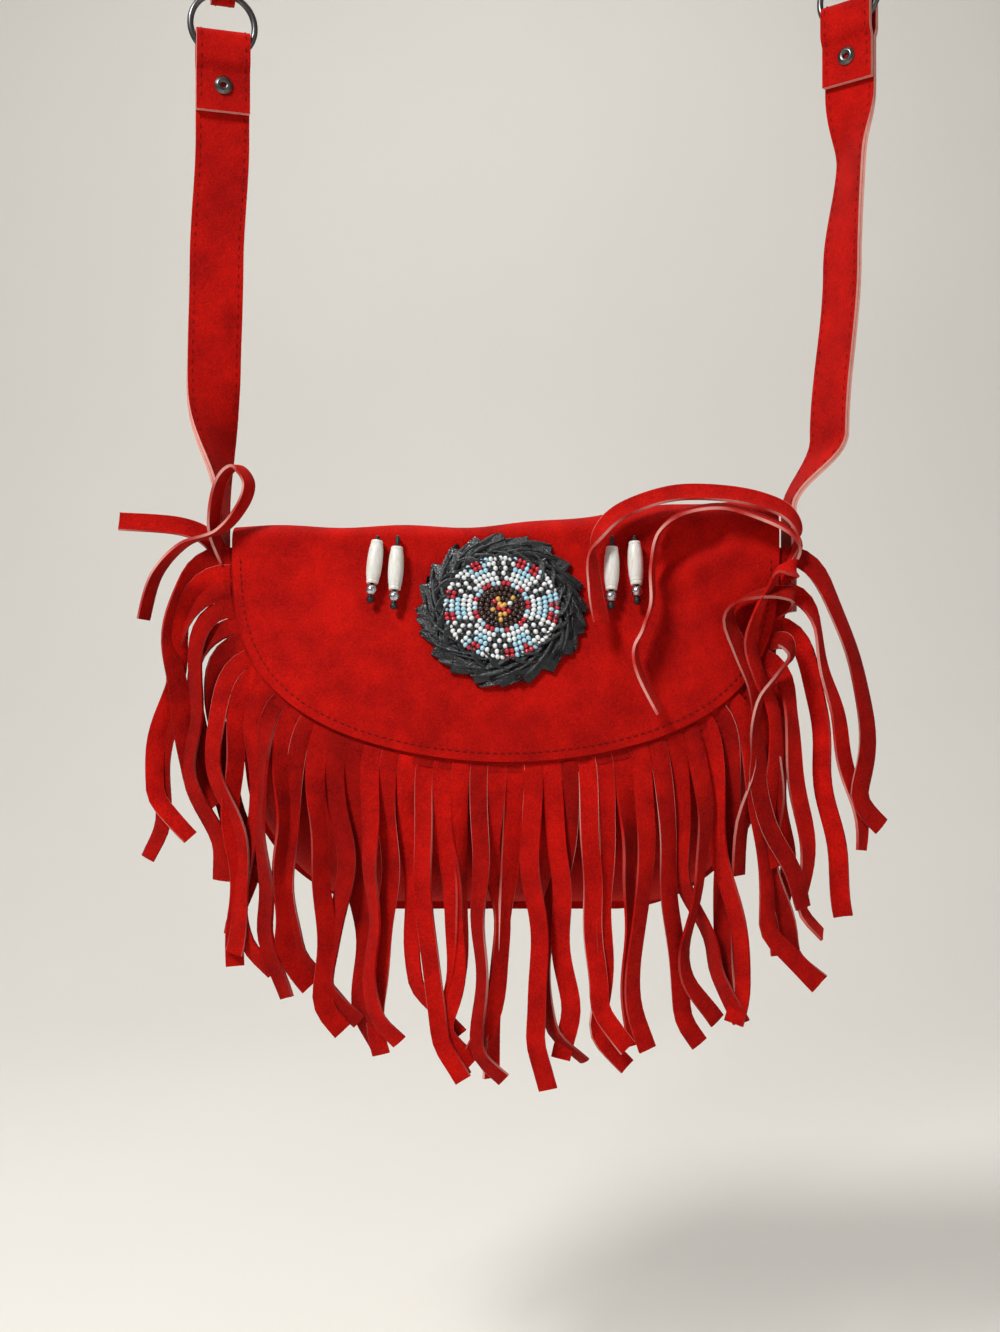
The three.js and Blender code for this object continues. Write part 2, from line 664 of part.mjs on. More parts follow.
// Values at heights over the bag's top edge, joined smoothly.
function along(table) {
  return (z) => {
    if (z <= table[0][0]) return table[0][1];
    for (let i = 1; i < table.length; i++) {
      const [z0, a] = table[i - 1];
      const [z1, b] = table[i];
      if (z <= z1) return mix(a, b, smooth((z - z0) / (z1 - z0)));
    }
    return table[table.length - 1][1];
  };
}
const rad = THREE.MathUtils.degToRad;
const SIDE_X = Math.max(POUCH_WIDTH, FLAP_WIDTH) / 2 + STRAP_THICKNESS / 2 + GAP;
const STRAP_Y = BACK_FACE_Y - STRAP_WIDTH / 2 - 3;
const leftX = along([[4, legY - SIDE_X], [60, -SIDE_X - 4], [120, -SIDE_X - 3], [180, -SIDE_X]]);
const leftTurn = along([[4, rad(90)], [74, rad(20)], [125, rad(6)], [LEFT_FOLD - TAB_LENGTH - 8, rad(17)]]);
const rightX = along([[4, SIDE_X - legY], [40, SIDE_X + 18], [120, SIDE_X + 24], [180, SIDE_X + 28.5]]);
const rightTurn = along([
  [4, rad(-90)], [40, rad(-62)], [122, rad(-64)], [170, rad(-76)], [RIGHT_FOLD - TAB_LENGTH - 3, rad(-40)],
]);
const leftRing = makeStrap("left", (z) => [leftX(z), STRAP_Y], leftTurn, STRAP_FOOT, LEFT_FOLD);
const rightRing = makeStrap("right", (z) => [rightX(z), STRAP_Y], rightTurn, STRAP_FOOT, RIGHT_FOLD);

// The upper strap: a narrow tongue folds under each ring's top, and the strap arches over between them.
const topZ = STRAP_DROP + half;
// The tongue's line at one ring, from its free end in front, under the wire and up behind, with its rivet.
function tongue(name, ring) {
  const fold = ring.z + ringLift(TONGUE_WIDTH);
  const open = fold + slotOf(TONGUE_WIDTH);
  const side = V(Math.cos(ring.turn), Math.sin(ring.turn), 0);
  const back = V(-Math.sin(ring.turn), Math.cos(ring.turn), 0);
  const at = (y, z) => V(ring.x, ring.y, z).addScaledVector(back, y);
  const points = [at(-legY, fold + TONGUE_LENGTH), at(-legY, open + TAB_SPREAD)];
  points.push(at(-loopOut, open), at(-loopOut, fold));
  for (let k = 1; k < 6; k++) {
    const a = (k / 6) * Math.PI;
    points.push(at(-loopOut * Math.cos(a), fold - loopOut * Math.sin(a)));
  }
  points.push(at(loopOut, fold), at(loopOut, open));
  points.push(at(legY, open + TAB_SPREAD), at(legY, fold + TONGUE_LENGTH));
  const rivetZ = mix(open + TAB_SPREAD, fold + TONGUE_LENGTH, 0.5);
  const reach = legY + half;
  const shank = new THREE.CylinderGeometry(RIVET_RADIUS + GAP, RIVET_RADIUS + GAP, reach * 4, 10);
  shank.applyMatrix4(new THREE.Matrix4().makeRotationZ(ring.turn).setPosition(ring.x, ring.y, rivetZ));
  const rivet = add(name, rivetShape(reach), gunmetal);
  rivet.position.set(ring.x, ring.y, rivetZ);
  rivet.rotation.z = ring.turn;
  return { points, side, shank };
}
const leftEnd = tongue("rivet_upper_left", leftRing);
const rightEnd = tongue("rivet_upper_right", rightRing);
const leftTop = leftEnd.points[leftEnd.points.length - 1];
const rightTop = rightEnd.points[rightEnd.points.length - 1];
const leftArc = new THREE.CubicBezierCurve3(
  leftTop.clone().add(V(0, 0, TAPER_LENGTH)),
  V(leftTop.x, 0, leftTop.z + RISE),
  V(leftTop.x * 0.62, 0, topZ),
  V(-FLAT_RUN, 0, topZ),
);
const rightArc = new THREE.CubicBezierCurve3(
  V(FLAT_RUN, 0, topZ),
  V(rightTop.x * 0.62, 0, topZ),
  V(rightTop.x, 0, rightTop.z + RISE),
  rightTop.clone().add(V(0, 0, TAPER_LENGTH)),
);
const arch = [...leftArc.getPoints(9), ...rightArc.getPoints(9)];
const across = V(0, 1, 0);
const strapLine = [...leftEnd.points, ...arch, ...rightEnd.points.slice().reverse()];
const endCount = leftEnd.points.length;
const rightSide = rightEnd.side.clone().negate();
const strapSides = strapLine.map((p, i) => {
  const k = i - endCount;
  if (k < 0) return leftEnd.side;
  if (k >= arch.length) return rightSide;
  const share = k / (arch.length - 1);
  if (share < 0.5) return leftEnd.side.clone().lerp(across, smooth(share * 2.6));
  return rightSide.clone().lerp(across, smooth((1 - share) * 2.6));
});
const isTongue = (i) => i < endCount || i >= endCount + arch.length;
const strapWidths = strapLine.map((p, i) => (isTongue(i) ? TONGUE_WIDTH : STRAP_WIDTH));
let upper = manifoldOf(ribbon(strapLine, strapSides, strapWidths, STRAP_THICKNESS));
upper = upper.subtract(manifoldOf(leftEnd.shank)).subtract(manifoldOf(rightEnd.shank));
add("strap_upper", geometryOf(upper), suede);

export default root;
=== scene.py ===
import math

import bmesh
import bpy
from mathutils import Matrix, Vector


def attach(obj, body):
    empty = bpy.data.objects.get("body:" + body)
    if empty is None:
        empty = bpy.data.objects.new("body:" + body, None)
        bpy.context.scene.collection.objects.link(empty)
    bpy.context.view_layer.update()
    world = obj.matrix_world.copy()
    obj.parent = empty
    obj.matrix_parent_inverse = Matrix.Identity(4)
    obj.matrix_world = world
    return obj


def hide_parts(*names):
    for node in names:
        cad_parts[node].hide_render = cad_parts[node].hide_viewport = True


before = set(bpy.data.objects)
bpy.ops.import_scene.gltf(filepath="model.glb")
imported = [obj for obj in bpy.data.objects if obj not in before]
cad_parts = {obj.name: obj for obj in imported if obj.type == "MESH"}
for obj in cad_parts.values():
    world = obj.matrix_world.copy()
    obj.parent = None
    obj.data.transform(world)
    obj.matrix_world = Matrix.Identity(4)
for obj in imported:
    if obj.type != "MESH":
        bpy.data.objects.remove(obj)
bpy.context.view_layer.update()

bl_info = {
    "name": "Fringed suede bag",
    "version": (1, 0, 0),
    "blender": (4, 5, 0),
    "location": "3D View > Sidebar > Bag",
    "description": "Makes the sheets, fringe, beadwork, straps and fittings of a fringed suede bag",
    "category": "Object",
}

MM = 0.001


def length(name, description, default):
    return bpy.props.FloatProperty(
        name=name,
        description=description,
        default=default,
        min=0.0,
        subtype="DISTANCE",
        unit="LENGTH",
        precision=4,
    )


def colour(name, description, default):
    return bpy.props.FloatVectorProperty(
        name=name,
        description=description,
        default=default,
        min=0.0,
        max=1.0,
        size=3,
        subtype="COLOR",
    )


class BagSizes(bpy.types.PropertyGroup):
    """Sizes of the bag's pieces."""

    strap_drop: length("Strap drop", "From the strap's top down to the bag's top edge", 0.4)
    suede: length("Suede", "Thickness of the pouch and flap suede", 0.0016)
    pouch_width: length("Pouch width", "Width of the pouch at its mouth", 0.264)
    pouch_height: length("Pouch height", "From the bag's top edge to the pouch's bottom", 0.186)
    pouch_depth: length("Pouch depth", "Front to back where the pouch is fullest", 0.046)
    flap_width: length("Flap width", "Width of the flap", 0.25)
    flap_drop: length("Flap drop", "From the bag's top edge to the flap's lowest point", 0.112)
    fringe_length: length("Fringe length", "Free length of a fringe strip", 0.138)
    strip_width: length("Strip width", "Width of a fringe strip", 0.0084)
    strip_suede: length("Strip suede", "Thickness of the fringe suede", 0.0013)
    rosette_radius: length("Rosette radius", "To the points of the laced rosette", 0.039)
    disc_radius: length("Disc radius", "To the rim of the beadwork", 0.026)
    bone_length: length("Bone length", "Length of a bone bead", 0.02)
    bone_radius: length("Bone radius", "Radius of a bone bead at its middle", 0.0035)
    end_bead_radius: length("End bead radius", "Radius of a silver end bead", 0.0026)
    strap_width: length("Strap width", "Width of the straps", 0.025)
    strap_thickness: length("Strap thickness", "Both layers of a strap together", 0.0026)
    ring_radius: length("Ring radius", "To the middle of the ring's wire", 0.015)
    ring_wire: length("Ring wire", "Radius of the ring's wire", 0.0015)
    fringe_strips: bpy.props.IntProperty(
        name="Fringe strips",
        description="Strips cut along the flap's edge",
        default=46,
        min=8,
        max=120,
    )
    bead_rings: bpy.props.IntProperty(
        name="Bead rings",
        description="Rings of seed beads on the disc",
        default=10,
        min=4,
        max=14,
    )


class BagColours(bpy.types.PropertyGroup):
    """Colours of the bag's finishes, as linear values."""

    suede_light: colour("Suede, brushed", "Suede where the nap stands up", (0.62, 0.006, 0.002))
    suede_deep: colour("Suede, pressed", "Suede where the nap lies flat", (0.21, 0.001, 0.001))
    cut_edge: colour("Cut edge", "Raw edge of the suede", (0.80, 0.42, 0.36))
    thread: colour("Thread", "Sewing thread", (0.22, 0.004, 0.003))
    black_leather: colour("Black leather", "Lacing of the rosette", (0.0045, 0.005, 0.006))
    bead_white: colour("White bead", "White seed beads", (0.84, 0.86, 0.86))
    bead_blue: colour("Blue bead", "Pale blue seed beads", (0.42, 0.68, 0.80))
    bead_red: colour("Red bead", "Red seed beads", (0.55, 0.015, 0.03))
    bead_black: colour("Black bead", "Black seed beads", (0.012, 0.012, 0.012))
    bead_bronze: colour("Bronze bead", "Dark bronze seed beads", (0.045, 0.014, 0.008))
    bead_gold: colour("Gold bead", "Gold seed beads", (0.75, 0.42, 0.10))
    bone: colour("Bone", "Bone beads", (0.78, 0.78, 0.76))
    silver: colour("Silver", "End beads", (0.68, 0.68, 0.70))
    gunmetal: colour("Gunmetal", "Rings and rivets", (0.17, 0.165, 0.16))
    floor: colour("Floor", "Floor and backdrop", (0.80, 0.77, 0.71))


def clamp(value, low, high):
    return min(high, max(low, value))


def mix(a, b, t):
    return a + (b - a) * t


def smooth(t):
    c = clamp(t, 0.0, 1.0)
    return c * c * (3.0 - 2.0 * c)


def chance(i, k):
    """A repeatable number from 0 to 1 for strip i and use k."""
    s = math.sin(i * 12.9898 + k * 78.233) * 43758.5453
    return s - math.floor(s)


def along(table):
    """A smooth curve through values at heights over the bag's top edge."""

    def value(z):
        if z <= table[0][0]:
            return table[0][1]
        for (z0, a), (z1, b) in zip(table, table[1:]):
            if z <= z1:
                return mix(a, b, smooth((z - z0) / (z1 - z0)))
        return table[-1][1]

    return value


def smooth_line(points, pieces):
    """A smooth line through the points."""
    line = []
    for k in range(len(points) - 1):
        a = points[max(k - 1, 0)]
        b = points[k]
        c = points[k + 1]
        d = points[min(k + 2, len(points) - 1)]
        for n in range(pieces):
            t = n / pieces
            bend = (2 * a - 5 * b + 4 * c - d) * t ** 2 + (3 * b - a - 3 * c + d) * t ** 3
            line.append(0.5 * (2 * b + (c - a) * t + bend))
    line.append(points[-1].copy())
    return line


class BagShape:
    """Surfaces and lines of the bag in millimetres, with z = 0 at the bag's top edge."""

    gap = 0.4
    pouch_taper = 17.0
    pouch_corner = 62.0
    seam_width = 5.0
    mouth_depth = 26.0
    mouth_drop = 20.0
    back_drop = 8.0
    back_face_y = 20.0
    flap_clear = 9.0
    flap_front_start = 14.0
    fold_left = -5.0
    fold_right = 7.0
    sew_clear = 2.0
    fold_share = 0.36
    edge_top = 15.0
    band_in = 9.0
    band_out = 5.0
    layer_step = 3.4
    left_reach = 1.3
    left_out = 0.16
    left_in = 0.32
    right_spread = 0.08
    curl_depth = 66.0
    loop_curl = (
        (0, 0, 0), (4, -4, 3), (3, -8, 6.5), (-6, -10, 7), (-17, -11, 3), (-25, -11.5, -6), (-21, -12, -22),
        (-11, -12, -38), (-8, -12, -56), (-12, -12, -78), (-20, -12, -104), (-18, -11, -130),
    )
    slant_curl = (
        (0, 0, 0), (5, -4, 1), (7, -8, -1), (5, -10, -7), (1, -11, -15), (-3, -11.5, -26), (-8, -12, -40),
        (-10, -12, -54), (-7, -12, -68), (0, -11, -88), (7, -10, -108), (11, -9, -126),
    )
    rosette_x = -2.0
    rosette_z = -44.0
    rosette_squash = 0.9
    rosette_thickness = 2.6
    tab_length = 34.0
    tab_spread = 6.0
    ring_clear = 0.7
    strap_foot = -44.0
    left_fold = 226.0
    right_fold = 240.0
    tongue_width = 11.0
    tongue_length = 30.0
    taper_length = 26.0
    flat_run = 30.0
    rise = 75.0

    def __init__(self, sizes):
        for name in sizes.__annotations__:
            value = getattr(sizes, name)
            setattr(self, name, value if isinstance(value, int) else value / MM)
        self.seam_y = self.back_face_y - self.suede - self.gap - self.suede / 2
        self.flap_half = self.flap_width / 2
        self.half = self.strap_thickness / 2
        self.loop_out = self.ring_wire + self.ring_clear + self.half
        self.leg_y = self.half + self.gap / 2
        self.side_x = max(self.pouch_width, self.flap_width) / 2 + self.half + self.gap
        self.strap_y = self.back_face_y - self.strap_width / 2 - 3.0
        self._trace_edge()

    def world(self, p):
        return Vector((p[0] * MM, p[1] * MM, (p[2] - self.strap_drop) * MM))

    def pouch_half_width(self, depth):
        taper = self.pouch_taper * clamp(depth / self.pouch_height, 0, 1) ** 2
        plain = self.pouch_width / 2 - taper
        into = depth - (self.pouch_height - self.pouch_corner)
        if into <= 0:
            return plain
        return plain - self.pouch_corner + math.sqrt(max(self.pouch_corner ** 2 - into ** 2, 0))

    def pouch_fullness(self, x, depth):
        half = max(self.pouch_half_width(depth) - self.seam_width, 1.0)
        across = math.sqrt(max(1 - min(abs(x) / half, 1) ** 3.2, 0))
        rise = smooth(depth / (self.pouch_height * 0.5))
        full = mix(self.mouth_depth, self.pouch_depth - 2 * self.suede - self.gap, rise)
        low = clamp((depth - self.pouch_height * 0.62) / (self.pouch_height * 0.38 - self.seam_width), 0, 1)
        return full * across * math.sqrt(max(1 - low ** 2.4, 0))

    def front_place(self, u, v):
        depth = mix(self.mouth_drop, self.pouch_height, 1 - (1 - v) ** 1.5)
        x = (2 * u - 1) * self.pouch_half_width(depth)
        full = self.pouch_fullness(x, depth)
        sag = 0.9 * math.sin(x * 0.075 + 1.3) * math.sin(depth * 0.052 + 0.4) * smooth(full / 18)
        return Vector((x, self.seam_y - full + sag, -depth))

    def back_place(self, u, v):
        depth = mix(self.back_drop, self.pouch_height, 1 - (1 - v) ** 1.5)
        x = (2 * u - 1) * self.pouch_half_width(depth)
        return Vector((x, self.back_face_y - self.suede / 2, -depth))

    def flap_bottom(self, x):
        share = clamp(abs(x) / self.flap_half, 0, 1)
        return max(self.flap_drop * (1 - share ** 1.9) ** 0.27, self.flap_drop * 0.14)

    def flap_rise(self, x):
        return mix(self.fold_left, self.fold_right, smooth((x / self.flap_half + 0.16) / 1.04))

    def flap_relief(self, x, depth):
        """Soft dents and one crease in the flap, none of them under the rosette."""
        far = smooth((math.hypot(x - self.rosette_x, depth + self.rosette_z) - 42) / 26)
        soft = 0.8 * math.sin(x * 0.047 + 0.7) * math.sin(depth * 0.06 + x * 0.02)
        t = clamp(((96 - x) * 31 + (depth - 13) * 13) / (31 * 31 + 13 * 13), 0, 1)
        off = math.hypot(x - (96 - 31 * t), depth - (13 + 13 * t))
        crease = 2.2 * math.exp(-(off / 4.2) ** 2) - 1.2 * math.exp(-((off - 8) / 5) ** 2)
        dimple = 1.8 * math.exp(-(((x - 84) / 11) ** 2) - ((depth - 8) / 6) ** 2)
        return far * soft + crease + dimple

    def flap_y(self, x, depth):
        share = clamp(abs(x) / self.flap_half, 0, 1)
        rise = smooth(depth / (self.pouch_height * 0.5))
        middle = self.seam_y - mix(self.mouth_depth, self.pouch_depth - 2 * self.suede, rise)
        side = self.seam_y - self.mouth_depth * 0.95
        return mix(middle, side, 0.75 * share ** 2.6) - self.flap_clear

    def flap_place(self, u, v):
        x = math.sin((u - 0.5) * math.pi) * self.flap_half
        start = self.flap_front_start
        if v <= self.fold_share:
            turn = v / self.fold_share
            angle = turn * math.pi
            front = self.flap_y(x, start) + self.flap_relief(x, start)
            middle = (self.seam_y + front) / 2
            reach = (self.seam_y - front) / 2
            c = math.cos(angle)
            y = middle + reach * math.copysign(abs(c) ** 0.8, c)
            base = mix(self.mouth_drop - self.sew_clear, start, turn)
            ripple = 0.7 * math.sin(x * 0.11 + 0.5) * math.sin(angle)
            rise = base + self.flap_rise(x) + ripple
            return Vector((x, y, -base + rise * max(math.sin(angle), 0) ** 0.55))
        share = (v - self.fold_share) / (1 - self.fold_share)
        depth = mix(start, max(self.flap_bottom(x), start + 4), share)
        return Vector((x, self.flap_y(x, depth) + self.flap_relief(x, depth), -depth))

    def _trace_edge(self):
        edge = [(-self.flap_half, self.edge_top)]
        for i in range(401):
            x = -math.cos(i / 400 * math.pi) * self.flap_half
            edge.append((x, self.flap_bottom(x)))
        edge.append((self.flap_half, self.edge_top))
        run = [0.0]
        for a, b in zip(edge, edge[1:]):
            run.append(run[-1] + math.dist(a, b))
        self.edge = edge
        self.run = run

    def edge_at(self, share):
        want = clamp(share, 0, 1) * self.run[-1]
        i = 1
        while i < len(self.run) - 1 and self.run[i] < want:
            i += 1
        t = (want - self.run[i - 1]) / max(self.run[i] - self.run[i - 1], 1e-6)
        a = self.edge[i - 1]
        b = self.edge[i]
        return mix(a[0], b[0], t), mix(a[1], b[1], t)

    def edge_frame(self, share):
        """A point of the flap's edge and the direction that leads out of the flap there."""
        x, depth = self.edge_at(share)
        ax, ad = self.edge_at(share - 0.02)
        bx, bd = self.edge_at(share + 0.02)
        long = math.hypot(bx - ax, bd - ad)
        return x, depth, -(bd - ad) / long, -(bx - ax) / long

    def band_place(self, u, v):
        x, depth, nx, nz = self.edge_frame(v)
        out = mix(-self.band_in, self.band_out, u)
        x += nx * out
        depth -= nz * out
        lift = self.suede / 2 + self.gap + self.strip_suede / 2
        deep = max(depth, self.flap_front_start)
        return Vector((x, self.flap_y(x, deep) + self.flap_relief(x, deep) + lift, -depth))

    def strip_path(self, i, count):
        """The middle line of a free strip and its directions of width."""
        share = (i + 0.5) / self.fringe_strips
        _, depth, nx, nz = self.edge_frame(share)
        out = abs(nx)
        upper = 1 - smooth((depth - self.flap_front_start) / 60)
        start = self.band_place(0.75, share)
        if nx > 0.75 and depth < self.curl_depth and i % 2 == 0:
            return self.curled_path(start, i)
        reach = self.fringe_length * mix(0.94, 1.06, chance(i, 1))
        stand = 1 + self.left_reach * upper * out if nx < 0 else 1
        bend = mix(7, 13, chance(i, 2)) * (0.6 + 0.4 * out) * stand
        if nx < 0:
            tilt = out * upper * mix(-self.left_out, self.left_in, chance(i, 3))
        else:
            tilt = nx * mix(0.04, self.right_spread, upper)
        lean = tilt + (chance(i, 11) - 0.5) * 0.16
        sway = (chance(i, 4) - 0.5) * 0.62
        ripple = mix(0.03, 0.17, chance(i, 17))
        phase = chance(i, 5) * 6.28
        flick = mix(-0.35, 1.15, chance(i, 6))
        kink = mix(0.68, 0.84, chance(i, 19))
        turn_most = mix(mix(0.15, 0.65, out), 1.15, chance(i, 18)) * (1 if chance(i, 7) > 0.5 else -1)
        onset = mix(2.0, 4.5, out)
        lift = ((i % 3) - 1) * self.layer_step
        wave = mix(0.8, 2.6, chance(i, 13))
        p = start.copy()
        points = []
        sides = []
        for k in range(count + 1):
            s = k / count
            fade = math.exp(-s * reach / bend)
            bow = sway * math.sin(phase + s * 7) + ripple * math.sin(phase * 3 + s * 16)
            swing = lean + bow * smooth(s * 2) + flick * smooth((s - kink) / 0.12)
            dx = nx * fade + (1 - fade) * swing
            dz = nz * fade - (1 - fade) * (1 - 0.3 * out * (1 - s))
            step = Vector((dx, 0, dz)).normalized()
            turn = turn_most * smooth(s * onset) * (0.7 + 0.3 * math.sin(phase + s * 6))
            flat = Vector((-step.z, 0, step.x))
            deep = step.cross(flat)
            sides.append(flat * math.cos(turn) + deep * math.sin(turn))
            y = start.y + lift * smooth(s * 3.2) + 6 * out * s
            y -= abs(math.sin(turn)) * self.strip_width * 0.42
            y += wave * (math.sin(phase * 2 + s * 9) - 0.5) * s
            points.append(Vector((p.x, y, p.z)))
            p += step * (reach / count)
        return points, sides

    def curled_path(self, start, i):
        """A strip that curls forward round the flap's edge and hangs in front of it."""
        turned = (i // 2) % 3 / 2
        rise = mix(0.6, 1.2, chance(i, 14))
        fall = mix(0.9, 1.06, chance(i, 15))
        knots = []
        for n, (a, b) in enumerate(zip(self.loop_curl, self.slant_curl)):
            away = Vector(a).lerp(Vector(b), turned)
            away.z *= rise if away.z > 0 else fall
            away.x += 2.5 * math.sin(n * 1.7 + i) * smooth(n / 3)
            knots.append(start + away)
        points = smooth_line(knots, 4)
        sides = []
        for k in range(len(points)):
            side = Vector((0, 0.3, 0.95)).lerp(Vector((0.5, 0.8, 0.3)), smooth(k / 16))
            face = 0.5 + 0.4 * math.sin(k * 0.16 + i)
            sides.append(side.lerp(Vector((0.9, 1 - face, 0.1)), smooth((k - 16) / 16)))
        return points, sides

    def face_at(self, x, z):
        """A point of the flap's outer face, the direction down its slope and the direction out of it."""
        y = self.flap_y(x, -z) - self.suede / 2
        down = Vector((0, self.flap_y(x, -z + 1) - self.flap_y(x, -z - 1), -2)).normalized()
        right = Vector((2, self.flap_y(x + 1, -z) - self.flap_y(x - 1, -z), 0)).normalized()
        out = right.cross(down).normalized()
        if out.y > 0:
            out.negate()
        return Vector((x, y, z)), down, out

    def on_rosette(self, radius, angle, height):
        x = self.rosette_x + radius * math.cos(angle)
        z = self.rosette_z + radius * math.sin(angle) * self.rosette_squash
        p, _, out = self.face_at(x, z)
        return p + out * height

    def entry(self, width):
        return math.sqrt(self.ring_radius ** 2 - width ** 2 / 4)

    def ring_lift(self, width):
        inner = self.entry(width)
        wire_depth = self.ring_wire * self.ring_radius / inner
        return self.ring_wire + self.ring_clear + inner - wire_depth - self.gap

    def slot_of(self, width):
        return self.ring_radius + self.ring_wire + self.ring_clear - self.ring_lift(width)

    def strap_run(self, side):
        """Where the lower strap's middle runs and how it turns, by height, and the height of its fold."""
        sx = self.side_x
        rad = math.radians
        if side == "left":
            x = along([(4, self.leg_y - sx), (60, -sx - 4), (120, -sx - 3), (180, -sx)])
            fold = self.left_fold
            tab = fold - self.tab_length - 8
            turn = along([(4, rad(90)), (74, rad(20)), (125, rad(6)), (tab, rad(17))])
        else:
            x = along([(4, sx - self.leg_y), (40, sx + 18), (120, sx + 24), (180, sx + 28.5)])
            fold = self.right_fold
            tab = fold - self.tab_length - 3
            low = [(4, rad(-90)), (40, rad(-62)), (122, rad(-64))]
            turn = along(low + [(170, rad(-76)), (tab, rad(-40))])
        return x, turn, fold

    def ring_place(self, side):
        x, turn, fold = self.strap_run(side)
        return Vector((x(fold), self.strap_y, fold + self.ring_lift(self.strap_width))), turn(fold)

    def rivet_place(self, side):
        x, turn, fold = self.strap_run(side)
        z = fold - self.tab_length + 12
        return Vector((x(z), self.strap_y, z)), turn(z)

    def upper_rivet_place(self, side):
        centre, turn = self.ring_place(side)
        fold = centre.z + self.ring_lift(self.tongue_width)
        low = fold + self.slot_of(self.tongue_width) + self.tab_spread
        return Vector((centre.x, centre.y, mix(low, fold + self.tongue_length, 0.5))), turn


def shape_of(context):
    return BagShape(context.scene.bag_sizes)


def finish_piece(name, bm, materials, body, sharp=50.0):
    """Turns a bmesh into a smooth-shaded piece that rides on a body."""
    mesh = bpy.data.meshes.new(name)
    bm.to_mesh(mesh)
    bm.free()
    for material in materials:
        mesh.materials.append(material)
    mesh.shade_smooth()
    mesh.set_sharp_from_angle(angle=math.radians(sharp))
    piece = bpy.data.objects.new(name, mesh)
    bpy.context.scene.collection.objects.link(piece)
    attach(piece, body)
    return piece


def add_grid(bm, across, rows):
    """A flat grid, with each vertex's column and row."""
    made = bmesh.ops.create_grid(bm, x_segments=across, y_segments=rows, size=1.0)["verts"]
    reach_x = max(v.co.x for v in made)
    reach_y = max(v.co.y for v in made)
    return [
        (v, round((v.co.x / reach_x + 1) / 2 * across), round((v.co.y / reach_y + 1) / 2 * rows))
        for v in made
    ]


def give_thickness(bm, thickness, rim=1):
    """Thickens open sheets about their middle and marks the rim's faces."""
    bmesh.ops.recalc_face_normals(bm, faces=bm.faces[:])
    bm.normal_update()
    for v in bm.verts:
        v.co += v.normal * thickness / 2
    first = set(bm.verts)
    bmesh.ops.solidify(bm, geom=bm.faces[:], thickness=thickness)
    for face in bm.faces:
        kinds = {v in first for v in face.verts}
        face.material_index = rim if len(kinds) == 2 else 0
    bmesh.ops.recalc_face_normals(bm, faces=bm.faces[:])


def add_ribbon(bm, shape, points, sides, widths, shares, cup=0.0, offset=0.0, marks=None):
    """An open strip along points.

    shares are the columns from edge to edge. marks holds the cut and tone layers, then the tone's value
    and how pale the cut edge is.
    """
    cells = add_grid(bm, len(shares) - 1, len(points) - 1)
    frames = []
    for k, p in enumerate(points):
        step = (points[min(k + 1, len(points) - 1)] - points[max(k - 1, 0)]).normalized()
        side = (sides[k] - step * sides[k].dot(step)).normalized()
        frames.append((p, side, step.cross(side)))
    for v, column, row in cells:
        p, side, out = frames[row]
        s = shares[column]
        w = (s - 0.5) * widths[row]
        v.co = shape.world(p + side * w + out * (offset + cup * (1 - (2 * s - 1) ** 2)))
        if marks:
            cut, tone, value, pale = marks
            patch = 0.6 + 0.4 * math.sin(row * 0.45 + value * 40)
            v[cut] = pale * patch if column in (0, len(shares) - 1) else 0.0
            v[tone] = value
    return cells


def small_shape(u_segments, v_segments):
    """A small round mesh to be copied many times."""
    bm = bmesh.new()
    bmesh.ops.create_uvsphere(bm, u_segments=u_segments, v_segments=v_segments, radius=1.0)
    mesh = bpy.data.meshes.new("small_shape")
    bm.to_mesh(mesh)
    bm.free()
    return mesh


def add_copy(bm, mesh, place):
    copy = mesh.copy()
    copy.transform(place)
    bm.from_mesh(copy)
    bpy.data.meshes.remove(copy)


def add_stitches(bm, shape, places, size):
    """Small threads, each at a point with the way it runs and the way out of the sheet."""
    stitch = small_shape(6, 4)
    for p, run, out in places:
        run = run.normalized()
        out = (out - run * out.dot(run)).normalized()
        turn = Matrix((run, out.cross(run), out)).transposed().to_4x4()
        scale = Matrix.Diagonal((size[0] / 2 * MM, size[1] / 2 * MM, size[2] / 2 * MM, 1.0))
        add_copy(bm, stitch, Matrix.Translation(shape.world(p)) @ turn @ scale)
    bpy.data.meshes.remove(stitch)


def spin_profile(bm, profile, steps, place):
    """Spins a profile of (radius, height) round its axis and sets it in place."""
    verts = [bm.verts.new((r * MM, 0.0, h * MM)) for r, h in profile]
    edges = [bm.edges.new(pair) for pair in zip(verts, verts[1:])]
    before = set(bm.verts) - set(verts)
    bmesh.ops.spin(
        bm,
        geom=verts + edges,
        cent=(0, 0, 0),
        axis=(0, 0, 1),
        angle=math.tau,
        steps=steps,
        use_merge=True,
    )
    made = [v for v in bm.verts if v not in before]
    bmesh.ops.remove_doubles(bm, verts=made, dist=1e-7)
    made = [v for v in bm.verts if v not in before]
    bmesh.ops.transform(bm, matrix=place, verts=made)
    bmesh.ops.recalc_face_normals(bm, faces=bm.faces[:])


def group_input(group, name, kind, default):
    socket = group.interface.new_socket(name=name, in_out="INPUT", socket_type=kind)
    socket.default_value = default


def new_group(name, inputs, outputs):
    group = bpy.data.node_groups.new(name, "ShaderNodeTree")
    for entry in inputs:
        group_input(group, *entry)
    for label, kind in outputs:
        group.interface.new_socket(name=label, in_out="OUTPUT", socket_type=kind)
    start = group.nodes.new("NodeGroupInput")
    end = group.nodes.new("NodeGroupOutput")
    return group, start, end


